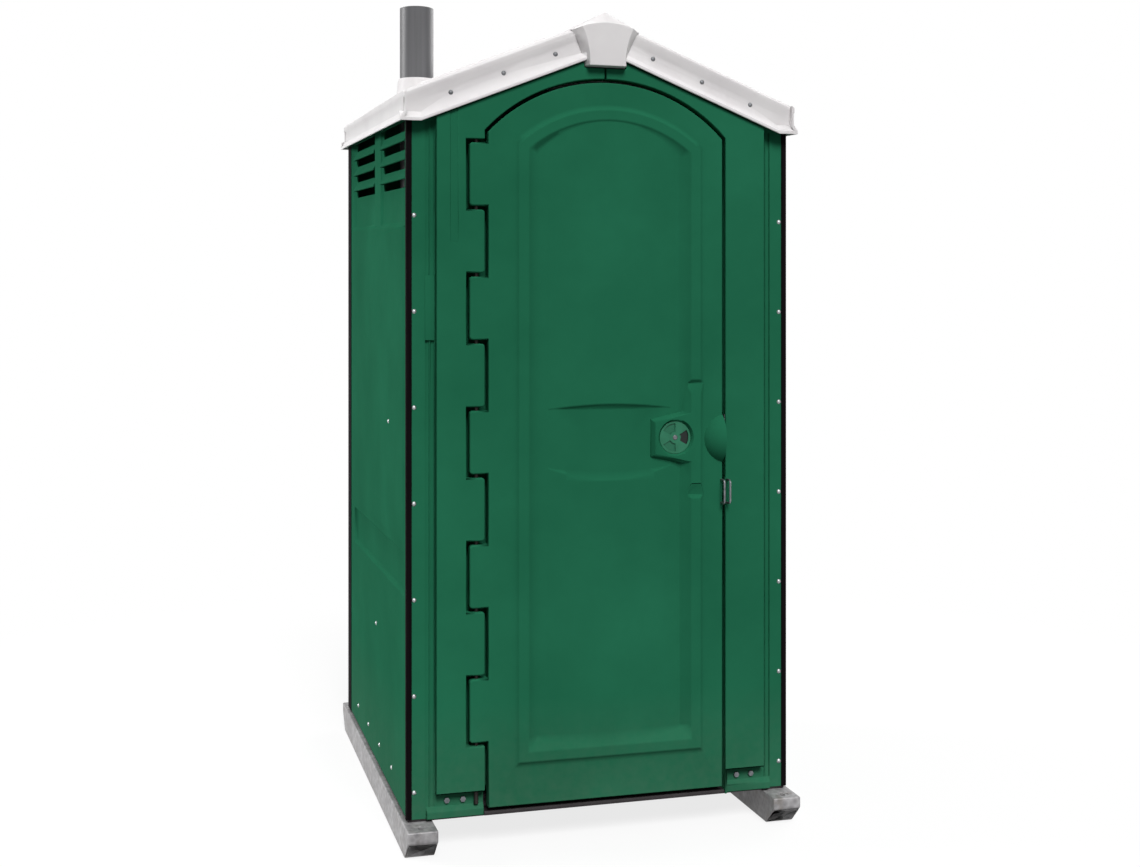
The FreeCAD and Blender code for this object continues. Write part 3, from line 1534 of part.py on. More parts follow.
# Tank, seat and urinal
def ellipse_plate(x, y, rx, ry, z0, z1):
    """Oval plate; the longer half size may lie along either axis."""
    if rx >= ry:
        curve = Part.Ellipse(V(x + rx, y, z0), V(x, y + ry, z0), V(x, y, z0))
    else:
        curve = Part.Ellipse(V(x, y + ry, z0), V(x - rx, y, z0), V(x, y, z0))
    return Part.Face(Part.Wire(curve.toShape())).extrude(V(0, 0, z1 - z0))


def waste_tank():
    """Open tank on the floor with a flange that the deck rests on."""
    low, high = floor_z, deck_z - deck_sheet
    body = block(-tank_half, tank_half, tank_front_y, tank_rear_y, low, high)
    flange = block(-tank_half - tank_flange, tank_half + tank_flange,
                   tank_front_y - tank_end_flange, tank_rear_y + tank_end_flange,
                   high - tank_wall, high)
    body = joined([body, flange])
    room = block(-tank_half + tank_wall, tank_half - tank_wall, tank_front_y + tank_wall,
                 tank_rear_y - tank_wall, low + tank_wall, high + 1)
    body = body.cut(room)
    x = drain_x()
    return body.cut(rod((x, tank_front_y - 5, drain_z), (x, tank_front_y + 20, drain_z),
                        drain_radius + part_gap))


def tank_deck():
    """Moulded deck over the tank: front apron, raised seat rim, holes for seat and pipe."""
    low = deck_z - deck_sheet
    top = block(-deck_half, deck_half, deck_front_y, wall_y - front_sheet - band_depth,
                low, deck_z)
    apron = block(-deck_half, deck_half, deck_front_y, deck_front_y + deck_apron,
                  deck_z - deck_lip, deck_z)
    rim = ellipse_plate(0, seat_y, seat_hole_x + seat_rim, seat_hole_y + seat_rim, low,
                        deck_z + seat_stand - 1)
    deck = joined([top, apron, rim])
    deck = deck.cut(ellipse_plate(0, seat_y, seat_hole_x, seat_hole_y, low - 1, deck_z + spare))
    deck = deck.cut(rod((pipe_x, pipe_y, low - 1), (pipe_x, pipe_y, deck_z + spare),
                        pipe_radius + part_gap))
    for side in (-1, 1):
        places = [(side * wall_x, tank_front_y + fitting_rivet_back, deck_z - deck_lip / 2)]
        deck = drilled(deck, places, (side, 0, 0), 1)
    return deck


def seat_hinge():
    """Two posts on the deck with the pin that carries seat and lid."""
    solids = []
    x = seat_lug_x + seat_lug / 2 + seat_lug + seat_post_gap
    for side in (-1, 1):
        post = block(side * x, side * (x + seat_post), seat_hinge_y - seat_post_half,
                     seat_hinge_y + seat_post_half, deck_z, seat_axis_z + seat_eye_radius)
        solids.append(post)
    end = x + seat_pin_in_post
    solids.append(rod((-end, seat_hinge_y, seat_axis_z), (end, seat_hinge_y, seat_axis_z),
                      seat_pin_radius))
    return joined(solids)


def hinge_lug(x0, x1, arms):
    """Lug round the seat pin, joined to its arms."""
    x0, x1 = min(x0, x1), max(x0, x1)
    eye = rod((x0, seat_hinge_y, seat_axis_z), (x1, seat_hinge_y, seat_axis_z), seat_eye_radius)
    hole = rod((x0 - 1, seat_hinge_y, seat_axis_z), (x1 + 1, seat_hinge_y, seat_axis_z),
               seat_pin_radius + seat_pin_fit)
    bars = [block(x0, x1, y0, y1, z0, z1) for y0, y1, z0, z1 in arms]
    return joined([eye] + bars).cut(hole)


def toilet_seat():
    """Oval seat ring resting on the deck, with two inner lugs on the pin."""
    low = deck_z + seat_stand
    ring = ellipse_plate(0, seat_y, seat_half_x, seat_half_y, low, low + seat_thickness)
    top = [e for e in ring.Edges if e.BoundBox.ZMin > low + seat_thickness - 0.01]
    ring = ring.makeFillet(seat_round, top)
    ring = ring.cut(ellipse_plate(0, seat_y, seat_hole_x + seat_overlap,
                                  seat_hole_y + seat_overlap, low - 1, low + seat_thickness + 1))
    lugs = []
    for side in (-1, 1):
        arm = (seat_hinge_y - seat_arm_reach, seat_hinge_y, seat_axis_z - seat_arm_half,
               seat_axis_z + seat_arm_half)
        lugs.append(hinge_lug(side * (seat_lug_x - seat_lug / 2),
                              side * (seat_lug_x + seat_lug / 2 - 1), [arm]))
    return joined([ring] + lugs)


def seat_lid():
    """Lid with its outer lugs on the same pin, stored open and leaning back."""
    low = deck_z + seat_stand + seat_thickness + 1
    lid = ellipse_plate(0, seat_y, seat_half_x - lid_inset, seat_half_y - lid_inset,
                        low, low + lid_thickness)
    top = [e for e in lid.Edges if e.BoundBox.ZMin > low + lid_thickness - 0.01]
    lid = lid.makeFillet(lid_round, top)
    lugs = []
    for side in (-1, 1):
        top_z = low + lid_arm_sheet
        arm = (seat_hinge_y - lid_arm_reach, seat_hinge_y, low, top_z)
        rise = (seat_hinge_y - seat_eye_radius, seat_hinge_y + seat_arm_half, seat_axis_z, top_z)
        lugs.append(hinge_lug(side * (seat_lug_x + seat_lug / 2 + 1),
                              side * (seat_lug_x + 3 * seat_lug / 2), [arm, rise]))
    lid = joined([lid] + lugs)
    lid.rotate(V(0, seat_hinge_y, seat_axis_z), V(-1, 0, 0), lid_open_angle)
    return lid


def urinal_plane():
    """Plane of the urinal's back plate, on the inside of the wall's recessed band."""
    return -wall_x + band_depth + sheet


def drain_x():
    """Place of the urinal's drain across the cabin."""
    return urinal_plane() + drain_from_wall


def urinal():
    """Half round bowl with a splash back, on the left wall."""
    x0 = urinal_plane()
    back = block(x0, x0 + urinal_sheet, urinal_y - urinal_half, urinal_y + urinal_half,
                 urinal_low_z, urinal_top_z)
    height = urinal_rim_z - urinal_low_z
    bowl = Part.makeCone(urinal_low_radius, urinal_rim_radius, height, V(x0, urinal_y, urinal_low_z))
    keep = block(x0, x0 + 2 * urinal_rim_radius, urinal_y - 2 * urinal_half,
                 urinal_y + 2 * urinal_half, urinal_low_z - 10, urinal_top_z)
    room = Part.makeCone(urinal_low_radius - urinal_sheet, urinal_rim_radius - urinal_sheet, height,
                         V(x0, urinal_y, urinal_low_z + urinal_sheet))
    reach = urinal_rim_radius
    room = room.common(block(x0 + urinal_sheet, x0 + 2 * reach, urinal_y - reach,
                             urinal_y + reach, urinal_low_z, urinal_rim_z + spare))
    wings = []
    for s in (-1, 1):
        y = urinal_y + s * urinal_half
        ring = [(x0, urinal_low_z), (x0 + wing_foot, urinal_low_z), (x0 + wing_rim, urinal_rim_z),
                (x0 + wing_upper, urinal_top_z - wing_upper_drop), (x0 + wing_top, urinal_top_z),
                (x0, urinal_top_z)]
        face = face_of([(a, y, z) for a, z in ring])
        wings.append(face.extrude(V(0, -s * urinal_sheet, 0)))
    hook_z = urinal_top_z - urinal_hook_drop
    boss = rod((-inner_x, urinal_y, hook_z), (x0, urinal_y, hook_z), urinal_hook_radius)
    whole = joined([back, bowl.common(keep), boss] + wings).cut(room)
    x = drain_x()
    floor_z0, floor_z1 = urinal_low_z - 1, urinal_low_z + 2 * urinal_sheet
    return whole.cut(rod((x, urinal_y, floor_z0), (x, urinal_y, floor_z1),
                         drain_radius - drain_wall))


def drain_route(x, z0, y1):
    """Path of the drain: down from the bowl, one bend, then back to the tank."""
    b = drain_bend
    c = b * (1 - math.sqrt(0.5))
    y, z = urinal_y, drain_z
    return [Part.LineSegment(V(x, y, z0), V(x, y, z + b)).toShape(),
            Part.Arc(V(x, y, z + b), V(x, y + c, z + c), V(x, y + b, z)).toShape(),
            Part.LineSegment(V(x, y + b, z), V(x, y1, z)).toShape()]


def drain_pipe():
    """Rigid drain from the urinal into the tank."""
    x = drain_x()
    tubes = []
    for radius, spare in ((drain_radius, 0.0), (drain_radius - drain_wall, 1.0)):
        z0 = urinal_low_z + spare
        y1 = tank_front_y + tank_wall + drain_into_tank + spare
        ring = Part.Wire(Part.Circle(V(x, urinal_y, z0), V(0, 0, 1), radius).toShape())
        tubes.append(Part.Wire(drain_route(x, z0, y1)).makePipeShell([ring], True, True))
    return tubes[0].cut(tubes[1])


def vent_pipe():
    """Round vent from the deck up through the roof, open at the top."""
    low = deck_z - deck_sheet - pipe_below_deck
    outer = rod((pipe_x, pipe_y, low), (pipe_x, pipe_y, pipe_top), pipe_radius)
    return outer.cut(rod((pipe_x, pipe_y, low - 1), (pipe_x, pipe_y, pipe_top + 1),
                         pipe_radius - pipe_wall))


# Paper holder
def holder_axis_x():
    """Line of the paper spindle, off the right wall."""
    return inner_x - holder_from_wall


def paper_holder():
    """Bracket on the right wall: base plate and two arms, the inside of which carry the spindle."""
    half = holder_half()
    x0 = inner_x - holder_base
    x = holder_axis_x()
    base = block(x0, inner_x, holder_y - half, holder_y + half, holder_z - holder_base_half,
                 holder_z + holder_base_half)
    arms = []
    for s in (-1, 1):
        y0 = holder_y + s * half
        y1 = y0 - s * holder_arm
        arm = block(x, x0 + 1, y0, y1, holder_z - holder_arm_half, holder_z + holder_arm_half)
        arms += [arm, rod((x, y0, holder_z), (x, y1, holder_z), holder_arm_half)]
    holder = joined([base] + arms)
    hole = rod((x, holder_y - half - 1, holder_z), (x, holder_y + half + 1, holder_z),
               spindle_end_radius + rod_fit)
    places = [(wall_x + field_height, holder_y + s * half * holder_rivet_share, holder_z)
              for s in (-1, 1)]
    return drilled(holder.cut(hole), places, (1, 0, 0), through)


def paper_spindle():
    """Roller on which the two paper rolls turn, held by its ends in the arms."""
    half = holder_half()
    x = holder_axis_x()
    ends = rod((x, holder_y - half, holder_z), (x, holder_y + half, holder_z),
               spindle_end_radius)
    reach = half - holder_arm - part_gap
    drum = rod((x, holder_y - reach, holder_z), (x, holder_y + reach, holder_z), roller_radius)
    return joined([ends, drum])


def paper_roll(side):
    """One paper roll round the spindle."""
    x = holder_axis_x()
    near = holder_y + side * roll_space / 2
    far = near + side * roll_width
    roll = rod((x, near, holder_z), (x, far, holder_z), roll_radius)
    return roll.cut(rod((x, near - side, holder_z), (x, far + side, holder_z), roll_bore))


# Fasteners
def front_rivets():
    """Domed rivets up both flanges of the front."""
    solids = []
    for side in (-1, 1):
        solids += [rivet(p, (0, -1, 0), flange_grip) for p in flange_rivet_places(side, -wall_y)]
    return Part.makeCompound(solids)


def rear_rivets():
    """The same rivets up the rear wall."""
    solids = []
    for side in (-1, 1):
        solids += [rivet(p, (0, 1, 0), flange_grip) for p in flange_rivet_places(side, wall_y)]
    return Part.makeCompound(solids)


def side_rivets():
    """Rivets through the side walls: along the foot and at the inside fittings."""
    solids = []
    for side in (-1, 1):
        solids += [rivet(p, (side, 0, 0), sheet) for p in side_rivet_places(side)]
        solids += [rivet(p, (side, 0, 0), sheet) for p in fitting_rivet_places(side)]
    return Part.makeCompound(solids)


def roof_rivets():
    """Rivets in the channels of both fascias."""
    solids = []
    for side in (-1, 1):
        for end in (-1, 1):
            places = roof_rivet_places(side, end, fascia_y + fascia_sheet)
            solids += [rivet(p, (0, end, 0), roof_grip) for p in places]
    return Part.makeCompound(solids)


def ledge_bolts():
    """Hexagon bolts above the ledge at the foot of each column."""
    solids = []
    for side in (-1, 1):
        for x in (ledge_bolt_x, ledge_bolt_x - ledge_bolt_pitch):
            solids.append(hex_head((side * x, -wall_y, ledge_bolt_z), (0, -1, 0),
                                   ledge_bolt_head, ledge_bolt_height))
    return Part.makeCompound(solids)


def right_wall():
    """Mirror of the left wall, drilled for its own fittings."""
    wall = mirrored_x(side_wall())
    return drilled(wall, fitting_rivet_places(1), (1, 0, 0), through)


def left_wall():
    """Left wall, drilled for the urinal and the tank."""
    return drilled(side_wall(), fitting_rivet_places(-1), (-1, 0, 0), through)


PIECES = {
    "skid_left": skid(-1),
    "skid_right": skid(1),
    "floor_pan": floor_pan(),
    "door_threshold": threshold(),
    "side_wall_left": left_wall(),
    "side_wall_right": right_wall(),
    "rear_wall": rear_wall(),
    "front_panel_hinge_side": front_panel(True),
    "front_panel_latch_side": front_panel(False),
    "corner_strip_front_left": corner_strip(-1, -1),
    "corner_strip_front_right": corner_strip(1, -1),
    "corner_strip_rear_left": corner_strip(-1, 1),
    "corner_strip_rear_right": corner_strip(1, 1),
    "roof_shell": roof_shell(),
    "vent_pipe": vent_pipe(),
    "vent_pipe_collar": pipe_collar(),
    "front_rivets": front_rivets(),
    "rear_rivets": rear_rivets(),
    "side_rivets": side_rivets(),
    "roof_rivets": roof_rivets(),
    "ledge_bolts": ledge_bolts(),
    "hinge_rod": rod((hinge_x, hinge_y, rod_bottom), (hinge_x, hinge_y, rod_top), rod_radius),
    "strike_plate": strike_plate(),
    "jamb_padlock_loop": padlock_loop(opening_right + loop_from_edge, column_face_y),
    "waste_tank": waste_tank(),
    "tank_deck": tank_deck(),
    "seat_hinge_posts": seat_hinge(),
    "urinal": urinal(),
    "urinal_drain_pipe": drain_pipe(),
    "paper_holder": paper_holder(),
    "paper_spindle": paper_spindle(),
    "door_outer_skin": door_outer(),
    "door_inner_skin": door_inner(),
    "dome_pull": dome_pull(),
    "door_padlock_loop": padlock_loop(door_right - loop_from_edge, door_face_y),
    "indicator_bezel": indicator_bezel(),
    "bolt_guide": bolt_guide(),
    "indicator_disc": indicator_disc(),
    "dial_screw": dial_screw(),
    "latch_spindle": latch_spindle(),
    "latch_knob": latch_knob(),
    "latch_bolt": latch_bolt(),
    "toilet_seat": toilet_seat(),
    "seat_lid": seat_lid(),
    "paper_roll_front": paper_roll(-1),
    "paper_roll_rear": paper_roll(1),
}

os.makedirs("parts", exist_ok=True)
for name, shape in PIECES.items():
    shape.exportStep("parts/" + name + ".step")
    print(name, len(shape.Solids), round(shape.Volume / 1000), shape.isValid())
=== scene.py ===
import json
import math
import bmesh
import bpy
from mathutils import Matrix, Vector


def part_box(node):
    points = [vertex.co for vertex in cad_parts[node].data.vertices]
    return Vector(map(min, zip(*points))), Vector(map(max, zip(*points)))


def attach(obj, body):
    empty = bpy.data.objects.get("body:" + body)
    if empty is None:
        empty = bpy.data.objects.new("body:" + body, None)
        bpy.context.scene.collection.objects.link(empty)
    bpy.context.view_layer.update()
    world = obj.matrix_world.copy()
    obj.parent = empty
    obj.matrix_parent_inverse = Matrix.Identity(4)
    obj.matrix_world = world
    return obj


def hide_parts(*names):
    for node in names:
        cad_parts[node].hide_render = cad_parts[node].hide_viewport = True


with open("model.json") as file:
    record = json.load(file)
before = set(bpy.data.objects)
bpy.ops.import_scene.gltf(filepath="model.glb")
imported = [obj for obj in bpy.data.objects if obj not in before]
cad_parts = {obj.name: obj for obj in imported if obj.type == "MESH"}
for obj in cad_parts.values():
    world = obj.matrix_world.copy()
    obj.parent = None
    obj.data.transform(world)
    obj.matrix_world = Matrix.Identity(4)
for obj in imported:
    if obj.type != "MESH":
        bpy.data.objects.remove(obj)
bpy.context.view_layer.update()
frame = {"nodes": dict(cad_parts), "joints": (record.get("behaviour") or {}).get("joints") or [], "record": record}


# Studio. A white floor and surround with soft daylight from the front, the left and the right
# rear, and a level camera at shoulder height in front of the hinge side of the cabin.
def linear(text):
    """Linear colour of an sRGB hex value."""
    channels = [int(text[k:k + 2], 16) / 255 for k in (1, 3, 5)]
    return [c / 12.92 if c <= 0.04045 else ((c + 0.055) / 1.055) ** 2.4 for c in channels] + [1.0]


def add(tree, kind, inputs=None, stops=(), **settings):
    """New node with its settings, its input values and links, and a ramp's colour stops."""
    node = tree.nodes.new(kind)
    for name, value in settings.items():
        setattr(node, name, value)
    for socket, value in (inputs or {}).items():
        if isinstance(value, bpy.types.Node):
            value = value.outputs[0]
        if isinstance(value, bpy.types.NodeSocket):
            tree.links.new(value, node.inputs[socket])
        else:
            node.inputs[socket].default_value = value
    for k, (position, text) in enumerate(stops):
        element = node.color_ramp.elements[k] if k < 2 else node.color_ramp.elements.new(position)
        element.position = position
        element.color = linear(text)
    return node


def new_finish(name):
    """Empty material of a finish, its node tree and its Object coordinates."""
    material = bpy.data.materials.new(name)
    material.use_nodes = True
    tree = material.node_tree
    tree.nodes.clear()
    return material, tree, tree.nodes.new("ShaderNodeTexCoord").outputs["Object"]


def into_scene(name, data):
    """Object at the origin for a mesh, a lamp or a camera."""
    thing = bpy.data.objects.new(name, data)
    bpy.context.scene.collection.objects.link(thing)
    return thing


def backdrop_rays(tree):
    """One for the rays that see the background: straight, or by way of metal or glass."""
    rays = add(tree, "ShaderNodeLightPath")
    seen = rays.outputs["Is Camera Ray"]
    for way in ("Is Glossy Ray", "Is Transmission Ray"):
        seen = add(tree, "ShaderNodeMath", {0: seen, 1: rays.outputs[way]}, operation="MAXIMUM")
    return seen


camera_data = bpy.data.cameras.new("camera")
camera_data.lens = 46.68
camera_data.sensor_width = 36
camera_data.shift_y = -0.1008
camera = into_scene("camera", camera_data)
camera.location = (-1.1996, -4.5312, 1.4338)
camera.rotation_euler = (math.radians(90), 0, math.radians(-15.73))
bpy.context.scene.camera = camera
bpy.context.scene.view_settings.view_transform = "Standard"

# White surround. It lights the cabin with about a quarter of the white that the camera sees.
surround = bpy.data.worlds.new("white_surround")
surround.use_nodes = True
tree = surround.node_tree
tree.nodes.clear()
level = add(tree, "ShaderNodeMapRange", {"Value": backdrop_rays(tree), "To Min": 0.28,
                                         "To Max": 1.0})
sky = add(tree, "ShaderNodeBackground", {"Color": (1, 1, 1, 1), "Strength": level})
add(tree, "ShaderNodeOutputWorld", {"Surface": sky})
bpy.context.scene.world = surround

# Daylight. Each source has the direction towards it, its width in degrees and its strength.
source_distance = 8.0
for name, source, spread, energy in (
        ("high_front_daylight", (-0.02, -0.73, 0.683), 24, 3.0),
        ("left_daylight", (-0.88, 0.38, 0.28), 24, 2.18),
        ("right_rear_daylight", (0.847, 0.489, 0.208), 40, 1.4)):
    lamp = bpy.data.lights.new(name, "SUN")
    lamp.angle = math.radians(spread)
    lamp.energy = energy
    daylight = into_scene(name, lamp)
    daylight.location = Vector(source) * source_distance
    daylight.rotation_euler = (-Vector(source)).to_track_quat("-Z", "Y").to_euler()

# Matt white studio paint. It takes the cabin's soft shadow near the skids, is pure white from
# 3.2 m out, and throws less light back than it shows, so that undersides stay dark.
white_paint, tree, place = new_finish("matt_white_studio_paint")
reach = add(tree, "ShaderNodeVectorMath", {0: place}, operation="LENGTH")
glow = add(tree, "ShaderNodeMapRange", {"Value": reach.outputs["Value"], "From Min": 1.2,
                                        "From Max": 3.2, "To Min": 0.8, "To Max": 1.0})
shown = add(tree, "ShaderNodeMixShader", {
    0: glow, 1: add(tree, "ShaderNodeBsdfDiffuse", {"Color": linear("#ffffff")}),
    2: add(tree, "ShaderNodeEmission", {"Strength": 1.0})})
floor_paint = add(tree, "ShaderNodeMixShader", {
    0: backdrop_rays(tree), 1: add(tree, "ShaderNodeBsdfDiffuse", {"Color": linear("#737373")}),
    2: shown})
add(tree, "ShaderNodeOutputMaterial", {"Surface": floor_paint})
bm = bmesh.new()
bmesh.ops.create_grid(bm, x_segments=1, y_segments=1, size=60)
mesh = bpy.data.meshes.new("studio_floor")
bm.to_mesh(mesh)
bm.free()
mesh.materials.append(white_paint)
into_scene("studio_floor", mesh)


# Skids. Two channels folded from steel sheet, undercut at both ends, and hot-dip galvanised
# after they were folded. The whole cabin is bolted down on them.
def scale_for(millimetres):
    """Texture scale at which a pattern's features are this many millimetres across."""
    return 1000 / millimetres


def moulded(name, radius, pick, material, cuts=()):
    """Copy of a node, merged, with the outer edges that are picked rounded by a radius.

    Flat faces are parted only along the cuts, which pass through their holes. A face that runs
    on smoothly into no other stays flat.
    """
    flat_angle, bend_angle, edge_angle = (math.radians(a) for a in (0.5, 16, 32))
    crease_angle, on_cut, shortest = math.radians(38), 4e-6, 1.6 * radius
    bm = bmesh.new()
    bm.from_mesh(nodes[name].data)
    bmesh.ops.remove_doubles(bm, verts=bm.verts, dist=1e-5)
    bmesh.ops.dissolve_limit(bm, angle_limit=flat_angle, verts=bm.verts, edges=bm.edges,
                             use_dissolve_boundaries=False)
    for axis, where in cuts:
        normal = Vector([float(k == axis) for k in range(3)])
        bmesh.ops.bisect_plane(bm, geom=bm.verts[:] + bm.edges[:] + bm.faces[:], dist=1e-6,
                               plane_co=normal * where, plane_no=normal)
    spare = [e for e in bm.edges if len(e.link_faces) == 2 and e.calc_face_angle(0) < flat_angle
             and not any(all(abs(vert.co[axis] - where) < on_cut for vert in e.verts)
                         for axis, where in cuts)]
    bmesh.ops.dissolve_edges(bm, edges=spare, use_verts=False)
    for face in bm.faces:
        face.smooth = any(flat_angle < e.calc_face_angle(0) < bend_angle for e in face.edges
                          if len(e.link_faces) == 2)
    edges = [e for e in bm.edges if len(e.link_faces) == 2 and e.is_convex
             and e.calc_face_angle(0) > edge_angle and e.calc_length() > shortest
             and pick(*((e.verts[0].co + e.verts[1].co) / 2))]
    rounded = bmesh.ops.bevel(bm, geom=edges, offset=radius, offset_type="OFFSET",
                              segments=3, profile=0.5, affect="EDGES",
                              clamp_overlap=False, material=-1)
    for face in rounded["faces"]:
        face.smooth = True
    mesh = bpy.data.meshes.new(name + "_moulded")
    bm.to_mesh(mesh)
    bm.free()
    mesh.set_sharp_from_angle(angle=crease_angle)
    mesh.materials.append(material)
    piece = into_scene(name + "_moulded", mesh)
    shading = piece.modifiers.new("large_faces_stay_flat", "WEIGHTED_NORMAL")
    shading.keep_sharp = True
    stand_in(piece, name)


def stand_in(piece, name):
    """Put a piece in the place of a CAD node, which is hidden, and on its body."""
    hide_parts(name)
    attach(piece, body_of[name])


nodes = frame["nodes"]
behaviour = frame["record"]["behaviour"]
body_of = {node: body for body, members in behaviour["bodies"].items() for node in members}

# Hot-dip galvanised steel: a dull grey zinc skin with spangles of about 15 mm in cloudy patches
# of 70 mm, and brown patches of road dirt.
galvanised, tree, place = new_finish("hot_dip_galvanised_steel")
spangle = add(tree, "ShaderNodeTexVoronoi", {"Vector": place, "Scale": scale_for(15.4)})
cloud = add(tree, "ShaderNodeTexNoise", {"Vector": place, "Scale": scale_for(71.4),
                                         "Detail": 6.0, "Roughness": 0.65})
patch = add(tree, "ShaderNodeMix", {0: 0.3, 2: cloud, 3: spangle}, data_type="FLOAT")
colour = add(tree, "ShaderNodeValToRGB", {"Fac": patch},
             ((0.25, "#6a686b"), (0.75, "#b7b6b8"), (0.5, "#918f90")))
dirt = add(tree, "ShaderNodeTexNoise", {"Vector": place, "Scale": scale_for(30.3),
                                        "Detail": 5.0})
amount = add(tree, "ShaderNodeMapRange", {"Value": dirt, "From Min": 0.56, "From Max": 0.72,
                                          "To Max": 0.5})
colour = add(tree, "ShaderNodeMix", {0: amount, 6: colour, 7: linear("#6d655c")},
             data_type="RGBA")
dull = add(tree, "ShaderNodeMapRange", {"Value": cloud, "To Min": 0.38, "To Max": 0.65})
pits = add(tree, "ShaderNodeBump", {"Height": patch, "Strength": 0.25, "Distance": 0.001})
metal = add(tree, "ShaderNodeBsdfPrincipled", {"Base Color": colour.outputs[2], "Metallic": 0.2,
                                               "Roughness": dull, "Normal": pits})
add(tree, "ShaderNodeOutputMaterial", {"Surface": metal})
for name in ("skid_left", "skid_right"):
    moulded(name, 0.004, lambda x, y, z: True, galvanised)


# Floor pan and threshold. One dark polyethylene moulding on the skids, with ribs below and a
# tread above, and a separate sill strip under the door.
def dress(material, *names):
    """Give a finish to CAD nodes whose shape stays as it is."""
    for name in names:
        nodes[name].data.materials.clear()
        nodes[name].data.materials.append(material)


# Grained moulded polyethylene: near black in clouds of 90 mm, with a 2.6 mm leather grain.
dark_floor, tree, place = new_finish("grained_moulded_polyethylene")
cloud = add(tree, "ShaderNodeTexNoise", {"Vector": place, "Scale": scale_for(91), "Detail": 5.0})
colour = add(tree, "ShaderNodeValToRGB", {"Fac": cloud}, ((0.35, "#1c1719"), (0.7, "#2b2729")))
grain = add(tree, "ShaderNodeTexNoise", {"Vector": place, "Scale": scale_for(2.63)})
bump = add(tree, "ShaderNodeBump", {"Height": grain, "Strength": 0.2, "Distance": 0.0005})
plastic = add(tree, "ShaderNodeBsdfPrincipled", {
    "Base Color": colour, "Roughness": 0.55, "Specular IOR Level": 0.3, "Normal": bump})
add(tree, "ShaderNodeOutputMaterial", {"Surface": plastic})
dress(dark_floor, "door_threshold")
pan_foot, pan_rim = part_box("floor_pan")[0].z, 0.016
moulded("floor_pan", 0.003, lambda x, y, z: z < pan_foot + pan_rim, dark_floor)


# Walls. The side walls are single moulded sheets with a louvred recess, a raised field and a
# sunk band; the rear wall is plainer. All are riveted together at the corners.

# Rotomoulded green polyethylene: a dull waxy skin, broad faint clouds, waves of some 200 mm in
# the flat areas, a fine 2.4 mm grain, and pale dust splashed up from the ground.
green, tree, place = new_finish("rotomoulded_green_polyethylene")
cloud = add(tree, "ShaderNodeTexNoise", {"Vector": place, "Scale": scale_for(385),
                                         "Detail": 6.0, "Roughness": 0.6})
colour = add(tree, "ShaderNodeValToRGB", {"Fac": cloud},
             ((0.3, "#1d5f44"), (0.7, "#236a4d"), (0.5, "#206448")))
height = add(tree, "ShaderNodeSeparateXYZ", {"Vector": place})
speck = add(tree, "ShaderNodeTexNoise", {"Vector": place, "Scale": scale_for(22.2),
                                         "Detail": 4.0})
low = add(tree, "ShaderNodeMapRange", {"Value": height.outputs["Z"], "From Min": 0.1,
                                       "From Max": 0.40, "To Min": 0.22, "To Max": 0.0})
dusty = add(tree, "ShaderNodeMath", {0: low, 1: speck}, operation="MULTIPLY")
colour = add(tree, "ShaderNodeMix", {0: dusty, 6: colour, 7: linear("#6b7a6c")},
             data_type="RGBA")
skin = add(tree, "ShaderNodeTexNoise", {"Vector": place, "Scale": scale_for(2.38),
                                        "Detail": 2.0})
wave = add(tree, "ShaderNodeTexNoise", {"Vector": place, "Scale": scale_for(200)})
shape = add(tree, "ShaderNodeBump", {"Height": wave, "Strength": 0.5, "Distance": 0.004})
shape = add(tree, "ShaderNodeBump", {"Height": skin, "Strength": 0.15, "Distance": 0.0005,
                                     "Normal": shape})
worn = add(tree, "ShaderNodeMapRange", {"Value": speck, "To Min": 0.78, "To Max": 0.92})
plastic = add(tree, "ShaderNodeBsdfPrincipled", {
    "Base Color": colour.outputs[2], "Roughness": worn, "Specular IOR Level": 0.01,
    "Normal": shape})
add(tree, "ShaderNodeOutputMaterial", {"Surface": plastic})
wall_round, near_face = 0.003, 0.020
outer_x, outer_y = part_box("side_wall_right")[1].x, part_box("rear_wall")[1].y
moulded("side_wall_left", wall_round, lambda x, y, z: x < near_face - outer_x, green)
moulded("side_wall_right", wall_round, lambda x, y, z: x > outer_x - near_face, green)
moulded("rear_wall", wall_round, lambda x, y, z: y > outer_y - near_face, green)


# Front. Two moulded halves that meet under the roof's keystone: a raised column each side of
# the door, a riveted flange outside it, and a ledge with two bolts at its foot.
def clear_of_loops(x, z):
    """True away from the holes of the padlock loops, which lie too near an edge to round it."""
    return abs(x - loops_x) > loops_reach or all(abs(z - at) > hole_room for at in loop_levels)


# The padlock loops: one in the door's edge and one in the jamb, both bent from the same rod.
loop_low, loop_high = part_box("jamb_padlock_loop")
loop_rod = loop_high.x - loop_low.x
loops_x, loops_reach = (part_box("door_padlock_loop")[0].x + loop_high.x) / 2, 0.021
loop_levels = (loop_low.z + loop_rod / 2, loop_high.z - loop_rod / 2)
loop_cuts = [(2, at + step) for at in loop_levels for step in (-loop_rod, 0.0, loop_rod)]
hole_room = loop_rod + 0.0001

# The flat faces are cut at the rivets' rows, at the loops' holes and along the hinge line.
rivet_low, rivet_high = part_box("front_rivets")
rivet_pitch = 0.2579
rivet_cuts = [(2, (rivet_low.z + rivet_high.z) / 2 + rivet_pitch * k) for k in range(-3, 4)]
joint_at = {joint["name"]: joint.get("pos_m") for joint in frame["joints"]}
hinge_cut = (1, joint_at["door_hinge"][1])
column_face, column_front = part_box("front_panel_hinge_side")[0].y, 0.015
moulded("front_panel_hinge_side", wall_round, lambda x, y, z: y < column_face + column_front,
        green, rivet_cuts + [hinge_cut])
moulded("front_panel_latch_side", wall_round,
        lambda x, y, z: y < column_face + column_front and clear_of_loops(x, z),
        green, rivet_cuts + loop_cuts)


# Corner strips. Black vinyl angles that were extruded in long lengths, cut to fit the four
# corners and held by the same rivets as the walls.

